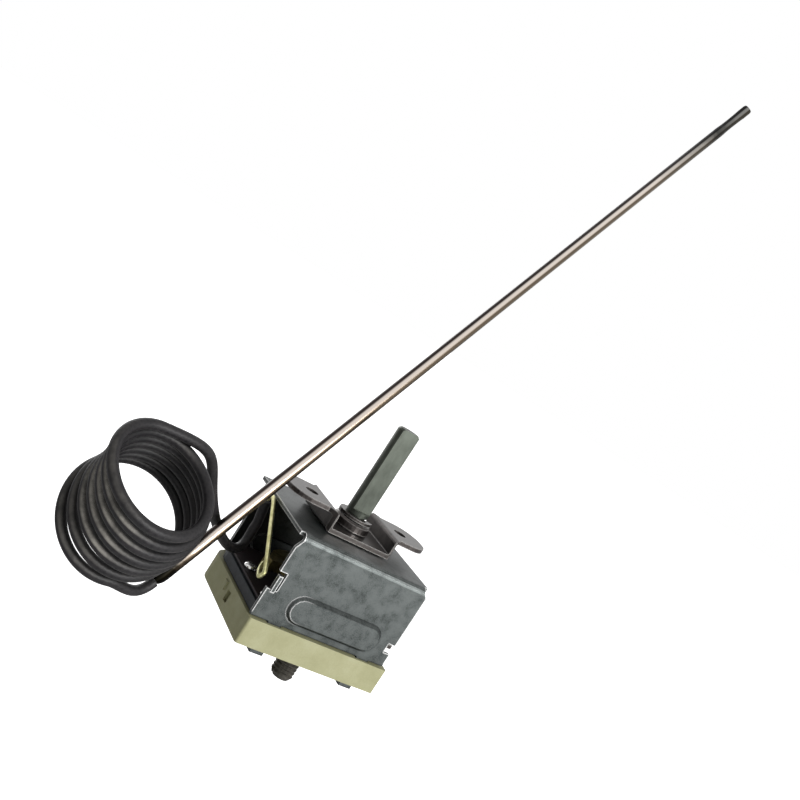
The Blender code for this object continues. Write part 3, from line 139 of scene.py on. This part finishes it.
def tube(name, points, along, body, finish):
    """A closed tube from a grid of points, stations by points round by 3, with flat ends.

    The UV map holds the distance along the tube and the share of the way round, in that order.
    """
    rows, columns = points.shape[:2]
    station = np.arange(rows - 1)[:, None] * columns
    point = np.arange(columns)[None, :]
    beside = (point + 1) % columns
    quads = np.stack([station + point, station + beside,
                      station + columns + beside, station + columns + point], -1).reshape(-1, 4)
    ends = [list(range(columns))[::-1], list(range((rows - 1) * columns, rows * columns))]
    mesh = bpy.data.meshes.new(name)
    mesh.from_pydata(points.reshape(-1, 3).tolist(), [], quads.tolist() + ends)
    corners = np.zeros(len(mesh.loops), dtype=np.int32)
    mesh.loops.foreach_get("vertex_index", corners)
    u = along[corners // columns]
    v = (corners % columns) / columns
    faces = v[:quads.size].reshape(-1, 4)
    across_seam = (faces.max(1) - faces.min(1)) > 0.5
    faces[across_seam] += faces[across_seam] < 0.5
    layer = mesh.uv_layers.new(name="run")
    layer.data.foreach_set("uv", np.stack([u, v], 1).astype(np.float32).ravel())
    item = bpy.data.objects.new(name, mesh)
    bpy.context.scene.collection.objects.link(item)
    mesh.materials.append(finish)
    mesh.polygons.foreach_set("use_smooth", np.ones(len(mesh.polygons), bool))
    mesh.set_sharp_from_angle(angle=SHARP_ANGLE)
    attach(item, body)
    return item


def sweep(path, radius, sides, flat=1.0, reference=(0.3, 0.5, 0.8)):
    """A section carried along a path without twist: centre + r (cos a side + flat sin a up).

    The first side vector is square to the path and to the reference. It is carried from station
    to station by the smallest turn. Returns the grid and the distance along it.
    """
    ahead = unit(np.gradient(path, axis=0))
    side = np.zeros_like(path)
    side[0] = unit(np.cross(ahead[0], reference))
    for i in range(1, len(path)):
        side[i] = unit(side[i - 1] - ahead[i] * side[i - 1].dot(ahead[i]))
    up = np.cross(ahead, side)
    angle = np.arange(sides) / sides * TURN
    radius, flat = (np.broadcast_to(value, len(path))[:, None, None] for value in (radius, flat))
    ring = (np.cos(angle)[None, :, None] * side[:, None]
            + flat * np.sin(angle)[None, :, None] * up[:, None])
    steps = np.linalg.norm(np.diff(path, axis=0), axis=1)
    return path[:, None] + radius * ring, np.concatenate([[0], np.cumsum(steps)])


def bezier(controls, steps):
    """Points of the curve pulled along a row of control points: sum of B(n, i) (1-t)^(n-i) t^i c."""
    order = len(controls) - 1
    t = np.linspace(0, 1, steps)[:, None]
    return sum(comb(order, i) * (1 - t) ** (order - i) * t ** i * control
               for i, control in enumerate(controls))


def smooth_path(points, steps):
    """A Catmull-Rom curve through points, worked out for all stretches at once."""
    padded = np.vstack([2 * points[0] - points[1], points, 2 * points[-1] - points[-2]])
    a, b, c, d = (padded[i:len(padded) - 3 + i, None] for i in range(4))
    t = (np.arange(steps) / steps)[None, :, None]
    curve = 0.5 * (2 * b + (c - a) * t + (2 * a - 5 * b + 4 * c - d) * t * t
                   + (3 * b - a - 3 * c + d) * t ** 3)
    return np.vstack([curve.reshape(-1, 3), points[-1:]])


# Finishes

def grey(level):
    """A grey colour without its alpha."""
    return (level, level, level)


class Finish:
    """A material in the making: its Principled shader, and short ways of adding nodes to it.

    A value can be another node's output or a plain number or colour.
    """

    def __init__(self, name):
        self.material = bpy.data.materials.new(name)
        self.material.use_nodes = True
        self.tree = self.material.node_tree
        self.shader = self.tree.nodes["Principled BSDF"]

    def node(self, kind, **values):
        """A node, with plain values for its inputs or properties by name."""
        item = self.tree.nodes.new(kind)
        for key, value in values.items():
            if key in item.inputs:
                item.inputs[key].default_value = value
            else:
                setattr(item, key, value)
        return item

    def feed(self, value, socket):
        """Gives an input its value."""
        if isinstance(value, bpy.types.NodeSocket):
            self.tree.links.new(value, socket)
        else:
            socket.default_value = value

    def put(self, name, value):
        """Gives one of the shader's inputs its value."""
        self.feed(value, self.shader.inputs[name])

    def maths(self, operation, *values):
        """The result of one operation on numbers."""
        item = self.node("ShaderNodeMath", operation=operation)
        for socket, value in zip(item.inputs, values):
            self.feed(value, socket)
        return item.outputs[0]

    def dot(self, *vectors):
        """The dot product of two vectors."""
        item = self.node("ShaderNodeVectorMath", operation="DOT_PRODUCT")
        for socket, vector in zip(item.inputs, vectors):
            self.feed(vector, socket)
        return item.outputs["Value"]

    def mix(self, share, first, second, blend_type="MIX"):
        """Two colours blended by a share."""
        item = self.node("ShaderNodeMix", data_type="RGBA", blend_type=blend_type)
        for name, value in (("Factor", share), ("A", first), ("B", second)):
            self.feed(value, item.inputs[name])
        return item.outputs["Result"]

    def ramp(self, source, stops):
        """A colour ramp on a number: stops are (position, colour)."""
        item = self.node("ShaderNodeValToRGB")
        band = item.color_ramp
        while len(band.elements) < len(stops):
            band.elements.new(0.5)
        for element, (position, colour) in zip(band.elements, stops):
            element.position = position
            element.color = (*colour, 1.0)
        self.feed(source, item.inputs["Fac"])
        return item.outputs["Color"]

    def spread(self, source, low, high, out_low=0.0, out_high=1.0):
        """The range low..high of a number carried onto out_low..out_high, and held beyond it."""
        item = self.node("ShaderNodeMapRange")
        for name, value in (("Value", source), ("From Min", low), ("From Max", high),
                            ("To Min", out_low), ("To Max", out_high)):
            self.feed(value, item.inputs[name])
        return item.outputs["Result"]

    def place(self, factors=(1, 1, 1), source="Object"):
        """Texture coordinates stretched by factors."""
        item = self.node("ShaderNodeMapping")
        self.feed(self.node("ShaderNodeTexCoord").outputs[source], item.inputs["Vector"])
        item.inputs["Scale"].default_value = factors
        return item.outputs["Vector"]

    def split(self, source="Object"):
        """X, Y and Z of texture coordinates."""
        item = self.node("ShaderNodeSeparateXYZ")
        self.feed(self.node("ShaderNodeTexCoord").outputs[source], item.inputs[0])
        return [item.outputs[axis] for axis in "XYZ"]

    def facing(self):
        """The surface's normal, smoothed where its piece is."""
        return self.node("ShaderNodeNewGeometry").outputs["Normal"]

    def noise(self, where, scale, detail=3.0, roughness=0.55):
        """A noise pattern's value at a scale in cells per metre."""
        item = self.node("ShaderNodeTexNoise", Scale=scale, Detail=detail, Roughness=roughness)
        self.feed(where, item.inputs["Vector"])
        return item.outputs["Fac"]

    def edges(self, radius):
        """1 on sharp edges, 0 elsewhere, by how far a bevel turns the normal."""
        bevel = self.node("ShaderNodeBevel", Radius=radius, samples=6)
        turned = self.dot(bevel.outputs["Normal"], self.facing())
        return self.spread(turned, *EDGE_COSINES, 1.0, 0.0)

    def crease_shade(self, colour, reach, level):
        """A colour darkened in hollow corners as painted shade, by how much of its surroundings a
        point sees.
        """
        sky = self.node("ShaderNodeAmbientOcclusion", Distance=reach, samples=8, only_local=True)
        hollow, open_air = CREASE_SIGHT
        shade = self.ramp(sky.outputs["AO"], [(hollow, grey(level)), (open_air, grey(1.0))])
        return self.mix(1.0, colour, shade, "MULTIPLY")

    def bump(self, height, strength, distance):
        """A bump of a real height in metres on the shader's normal."""
        item = self.node("ShaderNodeBump", Strength=strength, Distance=distance)
        self.feed(height, item.inputs["Height"])
        self.put("Normal", item.outputs["Normal"])


def shade_on_cover_edges(made):
    """Painted-shade mask: 1 on the panels' ribs but for their left ends, and along the panels' feet, 0
    elsewhere.
    """
    along, _, up = made.split()
    on_rib = 1.0
    for source, limits, ends in ((along, RIB_SHADE_LEFT, (0.0, 1.0)), (along, RIB_SHADE_RIGHT, (1.0, 0.0)),
                                 (up, RIB_SHADE_LOW, (0.0, 1.0)), (up, RIB_SHADE_HIGH, (1.0, 0.0))):
        on_rib = made.maths("MULTIPLY", on_rib, made.spread(source, *limits, *ends))
    return made.maths("MAXIMUM", on_rib, made.spread(up, *FOOT_SHADE, 1.0, 0.0))


def painted_shade_inside_cover(made, colour):
    """A colour cut down between the cover's panels and below its top: painted shade inside the cover.
    """
    _, across, up = made.split()
    between = made.maths("LESS_THAN", made.maths("ABSOLUTE", across), INSIDE_HALF)
    inside = made.maths("MULTIPLY", between, made.maths("LESS_THAN", up, INSIDE_ROOF))
    return made.mix(inside, colour, (*grey(INSIDE_LEFT_OVER), 1.0), "MULTIPLY")


def sheet_zinc(name, dark, light, edge, rough, cover=False):
    """Zinc-plated sheet: faint clouds, fine rolled grain, edges worn bright and painted bright as
    highlight.

    The cover also has painted shade on the edges of its ribs and feet, and painted shade on its
    inside.
    """
    made = Finish(name)
    cloud = made.noise(made.place(), 330, 4.0, 0.6)
    grain = made.noise(made.place((1.0, 1.0, 2.5)), 4200, 2.0, 0.75)
    mottle = made.maths("MULTIPLY_ADD", grain, 0.9, made.spread(cloud, 0.3, 0.7, -0.1, 0.25))
    tone = made.ramp(mottle, [(0.25, dark), (0.55, light), (0.85, [1.2 * c for c in light])])
    # Pale edges: part wear, part painted highlight.
    worn_and_highlit = made.edges(EDGE_RADIUS)
    # On the ribs and the panels' feet the pale edges take the dark tone: painted shade.
    edge_shade = shade_on_cover_edges(made) if cover else 0.0
    colour = made.mix(worn_and_highlit, tone, made.mix(edge_shade, (*edge, 1.0), (*dark, 1.0)))
    # Painted shade in hollow corners.
    colour = made.crease_shade(colour, 0.0014, 0.12)
    # Painted shade inside the cover.
    if cover:
        colour = painted_shade_inside_cover(made, colour)
    bright = made.maths("MULTIPLY", worn_and_highlit, made.maths("SUBTRACT", 1.0, edge_shade))
    made.put("Base Color", colour)
    made.put("Roughness", made.spread(bright, 0.0, 1.0, rough, rough * 0.6))
    made.put("Metallic", made.spread(bright, 0.0, 1.0, 0.85, 0.25))
    made.bump(grain, 0.35, 0.00002)
    return made.material


def turned_steel(name, dark, light, rough):
    """Turned steel: fine lines along Z, cloudy patches of oil."""
    made = Finish(name)
    lines = made.noise(made.place((1, 1, 0.04)), 5200, 3.0, 0.7)
    cloud = made.noise(made.place((1, 1, 0.5)), 420)
    mottle = made.maths("MULTIPLY_ADD", lines, 0.5, made.spread(cloud, 0.3, 0.7, 0.0, 0.5))
    made.put("Base Color", made.ramp(mottle, [(0.15, dark), (0.75, light)]))
    made.put("Metallic", 0.8)
    made.put("Roughness", made.spread(lines, 0.3, 0.7, rough - 0.08, rough + 0.1))
    made.bump(lines, 0.3, 0.00002)
    return made.material


def fired_ceramic():
    """Unglazed steatite: a cream body with faint clouds and fine speckle."""
    made = Finish("steatite_fired")
    where = made.place()
    cloud = made.noise(where, 180, 4.0, 0.6)
    speck = made.noise(where, 2400, 2.0, 0.6)
    mottle = made.maths("MULTIPLY_ADD", speck, 0.4, made.spread(cloud, 0.25, 0.75, 0.05, 0.6))
    made.put("Base Color", made.ramp(mottle, [
        (0.1, (0.215, 0.211, 0.108)), (0.5, (0.267, 0.262, 0.146)), (0.9, (0.318, 0.314, 0.193))]))
    made.put("Roughness", 0.62)
    made.put("Specular IOR Level", 0.35)
    made.bump(speck, 0.3, 0.00003)
    return made.material


def braided_sleeve():
    """Black glass-silk sleeve: crossing strands from the UV map, a grey painted highlight on one side.

    The strands' height is the greater of sin 2 pi (u / pitch + n v) and sin 2 pi (u / pitch - n v),
    with u the distance along the sleeve and v the share of the way round.
    """
    made = Finish("sleeve_braid")
    run, around, _ = made.split("UV")
    pitches = made.maths("MULTIPLY", run, 1 / BRAID_PITCH)
    strands = []
    for lean in (BRAID_STRANDS, -BRAID_STRANDS):
        cycles = made.maths("MULTIPLY_ADD", around, lean, pitches)
        strands.append(made.maths("SINE", made.maths("MULTIPLY", cycles, TURN)))
    weave = made.maths("MAXIMUM", *strands)
    cloud = made.noise(made.place(), 300)
    tone = made.ramp(made.maths("MULTIPLY_ADD", weave, 0.12, cloud),
                     [(0.2, (0.003, 0.003, 0.004)), (0.9, (0.018, 0.016, 0.017))])
    along, _, _ = made.split()
    # Painted highlight: grey on the sleeve's side that faces one way, on part of the coil only.
    painted_highlight = made.spread(made.dot(made.facing(), HIGHLIGHT_SIDE), *HIGHLIGHT_COSINES)
    for share in (made.spread(along, *HIGHLIGHT_FADES_ALONG, 1.0, 0.08),
                  made.spread(run, *HIGHLIGHT_GROWS, 0.12, 1.0),
                  made.spread(run, *HIGHLIGHT_FADES, 1.0, 0.25),
                  made.spread(cloud, 0.35, 0.6, 0.4, 1.0)):
        painted_highlight = made.maths("MULTIPLY", painted_highlight, share)
    colour = made.mix(painted_highlight, tone, (0.38, 0.36, 0.32, 1.0))
    # Painted shade in the hollows between the turns.
    made.put("Base Color", made.crease_shade(colour, 0.0035, 0.03))
    made.put("Roughness", 0.5)
    made.put("Specular IOR Level", 0.25)
    made.bump(weave, 0.25, 0.00004)
    return made.material


def drawn_tube():
    """Stainless phial: root painted near-black as the coil's shade, warm drawn steel, dark pinched
    end, by distance in the UV map.

    Dark, bright and brown lines are painted along it as reflections, by the share of the way round.
    """
    made = Finish("phial_drawn")
    run, around, _ = made.split("UV")
    blotch = made.noise(made.place(), 260)
    share = made.spread(made.maths("MULTIPLY_ADD", blotch, 0.012, run), 0.0, PHIAL_LENGTH)
    # The first stops paint the root near-black: painted shade from the coil.
    tone = made.ramp(share, [
        (0.0, (0.010, 0.010, 0.006)), (0.045, (0.014, 0.013, 0.010)), (0.075, (0.72, 0.64, 0.57)),
        (0.80, (0.78, 0.71, 0.65)), (0.90, (0.40, 0.38, 0.35)), (0.945, (0.06, 0.06, 0.055)),
        (1.0, (0.22, 0.22, 0.21))])
    scratches = made.noise(made.place((12, 2600, 1), "UV"), 1.0, 3.0, 0.7)
    scratched = made.ramp(scratches, [(0.3, grey(0.6)), (0.7, grey(1.0))])
    # Painted reflections: dark, bright and brown lines along the tube.
    painted_reflections = made.ramp(made.maths("FRACT", around), [
        (0.0, (0.30, 0.26, 0.22)), (0.08, grey(0.8)), (0.40, grey(0.8)), (0.47, (0.03, 0.025, 0.025)),
        (0.675, (0.035, 0.028, 0.028)), (0.72, grey(1.0)), (0.78, (1.0, 0.97, 0.94)),
        (0.82, (0.17, 0.145, 0.11)), (1.0, (0.19, 0.165, 0.135))])
    colour = made.mix(0.35, tone, scratched, "MULTIPLY")
    made.put("Base Color", made.mix(1.0, colour, painted_reflections, "MULTIPLY"))
    made.put("Metallic", 1.0)
    made.put("Roughness", made.ramp(share, [(0.0, grey(0.5)), (0.05, grey(0.5)), (0.075, grey(0.24)),
                                            (0.85, grey(0.24)), (0.97, grey(0.5))]))
    made.bump(blotch, 0.2, 0.00003)
    return made.material


def soft_metal(name, dark, light, rough):
    """Bare copper, brass or silver: dull patches and a fine handled grain."""
    made = Finish(name)
    where = made.place()
    patch = made.noise(where, 700, 4.0, 0.6)
    made.put("Base Color", made.ramp(patch, [(0.3, dark), (0.65, light)]))
    made.put("Metallic", 0.9)
    made.put("Roughness", made.spread(patch, 0.3, 0.7, rough + 0.1, rough - 0.05))
    made.bump(made.noise(where, 3200, 2.0), 0.2, 0.00002)
    return made.material


def dull(name, dark, light, rough, scale, shine):
    """Moulding, pressed board or varnish: a mottled colour with a little relief."""
    made = Finish(name)
    where = made.place()
    patch = made.noise(where, scale, 4.0, 0.6)
    made.put("Base Color", made.ramp(patch, [(0.3, dark), (0.7, light)]))
    made.put("Roughness", rough)
    made.put("Specular IOR Level", shine)
    made.bump(made.noise(where, scale * 2.5, 2.0), 0.4, 0.00004)
    return made.material


zinc = sheet_zinc("zinc_sheet", (0.018, 0.022, 0.021), (0.080, 0.088, 0.086), (0.80, 0.80, 0.79),
                  0.42, cover=True)
plate_zinc = sheet_zinc("plate_zinc", (0.012, 0.010, 0.009), (0.060, 0.053, 0.050),
                        (0.22, 0.21, 0.20), 0.3)
spindle_steel = turned_steel("spindle_turned", (0.033, 0.037, 0.030), (0.066, 0.074, 0.061), 0.42)
ceramic = fired_ceramic()
braid = braided_sleeve()
phial_steel = drawn_tube()
copper = soft_metal("capsule_copper", (0.10, 0.08, 0.03), (0.24, 0.20, 0.08), 0.4)
wire_copper = soft_metal("capillary_copper", (0.50, 0.48, 0.20), (0.85, 0.83, 0.48), 0.35)
moulding = dull("dark_moulding", (0.006, 0.008, 0.011), (0.020, 0.025, 0.029), 0.4, 600, 0.2)
brass = soft_metal("switch_brass", (0.36, 0.26, 0.08), (0.62, 0.48, 0.18), 0.35)
silver = soft_metal("contact_silver", (0.55, 0.55, 0.54), (0.85, 0.85, 0.84), 0.22)
board = dull("pressed_board", (0.009, 0.007, 0.008), (0.024, 0.016, 0.017), 0.5, 900, 0.2)
blackened = turned_steel("blackened_steel", (0.02, 0.018, 0.015), (0.075, 0.07, 0.06), 0.5)
varnish = dull("locking_varnish", (0.45, 0.40, 0.05), (0.72, 0.68, 0.15), 0.25, 500, 0.5)

FINISHES = {
    "cover": zinc, "mount_plate": plate_zinc, "spindle_bush": plate_zinc,
    "spindle": spindle_steel, "stop_disc": plate_zinc, "retaining_clip": plate_zinc,
    "base": ceramic, "switch_block": moulding, "insulating_board": board,
    "board_rivet_front": silver, "board_rivet_rear": silver, "fixed_terminal": brass,
    "common_terminal": brass, "snap_blade": brass, "fixed_contact": silver,
    "moving_contact": silver, "root_rivet": brass, "push_pin": ceramic,
    "switch_lever": plate_zinc, "thrust_cup": brass, "diaphragm_capsule": copper,
    "bare_capillary": wire_copper, "capillary_coil": braid, "phial": phial_steel,
    "calibration_screw": blackened, "varnish_seal": varnish,
}
for name, finish in FINISHES.items():
    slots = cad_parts[name].data.materials
    for index in range(len(slots)):
        slots[index] = finish


# Pieces

def phial_direction():
    """Unit vector from the phial's root to its tip."""
    level = np.cos(PHIAL_ELEVATION)
    return np.array([level * np.cos(PHIAL_AZIMUTH), level * np.sin(PHIAL_AZIMUTH),
                     np.sin(PHIAL_ELEVATION)])


def coil_points(turned):
    """Points on the fanned coil, by the angle turned: c + R (cos a b - sin a n x b).

    The centre c and the radius R run from the near turn's to the far turn's, and bulge halfway.
    The turns' normal n leans about the fan's axis b.
    """
    share = (turned / (TURN * COIL_TURNS))[:, None]
    middle = 4 * share * (1 - share)
    axis = unit(COIL_FAN_AXIS)
    normal = unit(COIL_NEAR_NORMAL)
    centre = COIL_NEAR_CENTRE + (COIL_FAR_CENTRE - COIL_NEAR_CENTRE) * share + COIL_SAG * middle
    radius = COIL_NEAR_RADIUS + (COIL_FAR_RADIUS - COIL_NEAR_RADIUS) * share + COIL_SWELL * middle
    lean = COIL_FAN * share
    leaned = (normal * np.cos(lean) + np.cross(axis, normal) * np.sin(lean)
              + axis * axis.dot(normal) * (1 - np.cos(lean)))
    across = np.cross(leaned, axis)
    return centre + radius * (np.cos(turned)[:, None] * axis - np.sin(turned)[:, None] * across)


def make_capillary():
    """The bare wire: a Catmull-Rom curve from the capsule's neck up to the sleeve."""
    out = np.array([np.cos(NECK_ANGLE), np.sin(NECK_ANGLE), 0.0])
    level = np.array([0.0, 0.0, CAPSULE_Z])
    points = np.vstack([out * (CAPSULE_RADIUS + NECK_STOP + GAP) + level,
                        out * (CAPSULE_RADIUS + WIRE_STRAIGHT) + level,
                        WIRE_BENDS, SLEEVE_TOP + [0.0, 0.0, 2 * GAP]])
    grid, run = sweep(smooth_path(points, WIRE_STEPS), CAPILLARY_RADIUS, WIRE_SIDES)
    item = tube("bare_wire", grid, run, "frame", wire_copper)
    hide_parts("bare_capillary")


def make_phial():
    """The straight tube: section eased from station to station, its end necked and pinched flat."""
    start = PHIAL_LENGTH - PINCH_LENGTH
    sections = np.array([     # distance along, radius, thickness as a share of the width
        (0.0, 0.0009, 1.0), (0.0004, 0.0011, 1.0), (0.0012, 0.0014, 1.0),
        (0.0022, PHIAL_RADIUS, 1.0), (start, PHIAL_RADIUS, 1.0), (start + 0.0012, 0.00148, 0.98),
        (start + 0.0025, 0.00140, 0.92), (start + 0.0060, 0.00135, 0.8),
        (start + 0.0110, 0.00142, 0.62), (PHIAL_LENGTH - 0.0040, 0.00150, 0.5),
        (PHIAL_LENGTH - 0.0008, 0.00150, 0.5), (PHIAL_LENGTH, 0.00140, 0.45)])
    stations, radii, flats = sections.T
    along = np.unique(np.concatenate([stations, np.linspace(ROOT_END, start, TUBE_STATIONS),
                                      np.linspace(start, PHIAL_LENGTH, PINCH_STATIONS)]))
    path = PHIAL_ROOT + along[:, None] * phial_direction()
    grid, run = sweep(path, np.interp(along, stations, radii), PHIAL_SIDES,
                      np.interp(along, stations, flats), PINCH_FACING)
    item = tube("phial_tube", grid, run, "frame", phial_steel)
    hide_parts("phial")


def make_coil():
    """The sleeved capillary as one tube: out of the body, behind the phial and round the turns."""
    turns = coil_points(np.linspace(COIL_JOINS_AT, TURN * COIL_LEAVES_AT, TURN_STATIONS))
    into = unit(turns[1] - turns[0])
    away = unit(turns[-1] - turns[-2])
    end = PHIAL_ROOT - phial_direction() * GAP
    leave, arrive = LEAD_OUT_PULLS
    top = np.linspace(SLEEVE_TOP, SLEEVE_START, TOP_STATIONS)
    lead_in = bezier([SLEEVE_START, SLEEVE_START + SLEEVE_DROP, *SLEEVE_GUIDES,
                      turns[0] - into * COIL_PULL, turns[0]], LEAD_IN_STATIONS)
    lead_out = bezier([turns[-1], turns[-1] + away * leave,
                       end - phial_direction() * arrive, end], LEAD_OUT_STATIONS)
    path = np.vstack([top[:-1], lead_in[:-1], turns, lead_out[1:]])
    grid, run = sweep(path, SLEEVE_RADIUS, SLEEVE_SIDES)
    item = tube("sleeved_capillary", grid, run, "frame", braid)
    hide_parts("capillary_coil")


make_capillary()
make_phial()
make_coil()


# Stage: camera, room, floor, flags and lamps

def make_camera():
    """The photograph's viewpoint, from the fitted camera."""
    camera = bpy.data.objects.new("camera", bpy.data.cameras.new("camera"))
    bpy.context.scene.collection.objects.link(camera)
    place = Matrix((CAMERA_RIGHT, CAMERA_UP, CAMERA_BACK)).transposed().to_4x4()
    place.translation = CAMERA_PLACE
    camera.matrix_world = place
    camera.data.sensor_width = SENSOR_WIDTH
    camera.data.sensor_fit = "HORIZONTAL"
    camera.data.lens = SENSOR_WIDTH * FOCAL_LENGTH / PHOTO_WIDTH
    camera.data.clip_start = 0.01
    camera.data.clip_end = 50
    bpy.context.scene.camera = camera


def make_world():
    """A dim white room that camera, glossy and transmitted rays see at full white."""
    world = bpy.data.worlds.new("room")
    bpy.context.scene.world = world
    world.use_nodes = True
    nodes, link = world.node_tree.nodes, world.node_tree.links.new
    dim, white = nodes["Background"], nodes.new("ShaderNodeBackground")
    for background, strength in ((dim, ROOM_STRENGTH), (white, 1.0)):
        background.inputs["Color"].default_value = (*grey(1.0), 1.0)
        background.inputs["Strength"].default_value = strength
    path = nodes.new("ShaderNodeLightPath")
    seen = path.outputs["Is Camera Ray"]
    for kind in ("Is Glossy Ray", "Is Transmission Ray"):
        either = nodes.new("ShaderNodeMath")
        either.operation = "MAXIMUM"
        link(seen, either.inputs[0])
        link(path.outputs[kind], either.inputs[1])
        seen = either.outputs[0]
    mix = nodes.new("ShaderNodeMixShader")
    for source, socket in zip((seen, dim.outputs[0], white.outputs[0]), mix.inputs):
        link(source, socket)
    link(mix.outputs[0], nodes["World Output"].inputs["Surface"])


def stage_square(name, made, width, turn, centre, seen=True):
    """A square of the stage, turned and moved into place."""
    half = width / 2
    corners = [(-half, -half, 0.0), (half, -half, 0.0), (half, half, 0.0), (-half, half, 0.0)]
    mesh = bpy.data.meshes.new(name)
    mesh.from_pydata([tuple(turn @ Vector(corner) + Vector(centre)) for corner in corners],
                     [], [(0, 1, 2, 3)])
    mesh.materials.append(made.material)
    item = bpy.data.objects.new(name, mesh)
    bpy.context.scene.collection.objects.link(item)
    item.visible_camera = seen
    item.visible_glossy = seen


def flag(name, centre, facing, width):
    """A black card that shades the part, hidden from the camera and from mirror images."""
    made = Finish(name)
    made.put("Base Color", (*grey(0.03), 1.0))
    made.put("Roughness", 1.0)
    turn = Vector(facing).to_track_quat("Z", "Y").to_matrix()
    stage_square(name, made, width, turn, centre, seen=False)


def make_floor():
    """A pale floor below the part, which the camera sees as white."""
    made = Finish("floor_paper")
    made.put("Base Color", (*grey(0.9), 1.0))
    made.put("Roughness", 0.9)
    made.put("Emission Color", (*grey(1.0), 1.0))
    made.put("Emission Strength", made.node("ShaderNodeLightPath").outputs["Is Camera Ray"])
    stage_square("floor", made, 2 * FLOOR_REACH, Matrix.Identity(3), (0.0, 0.0, FLOOR_LEVEL))


def lamp(name, place, size, energy):
    """A square area light aimed at the part."""
    data = bpy.data.lights.new(name, "AREA")
    data.size = size
    data.energy = energy
    item = bpy.data.objects.new(name, data)
    bpy.context.scene.collection.objects.link(item)
    item.location = place
    item.rotation_mode = "QUATERNION"
    item.rotation_quaternion = (Vector(LAMP_AIM) - Vector(place)).to_track_quat("-Z", "Y")


make_camera()
make_world()
make_floor()
flag("flag_top", (0.0, 0.1, 0.42), (0, 0, -1), 0.7)
flag("flag_left", (-0.45, 0.15, 0.05), (1, 0, 0), 0.6)
lamp("back_fill", (-0.05, 0.70, 0.10), 0.60, 2.2)
lamp("key", (0.25, -0.55, 0.16), 0.30, 5.0)

bpy.context.scene.view_settings.view_transform = "Standard"
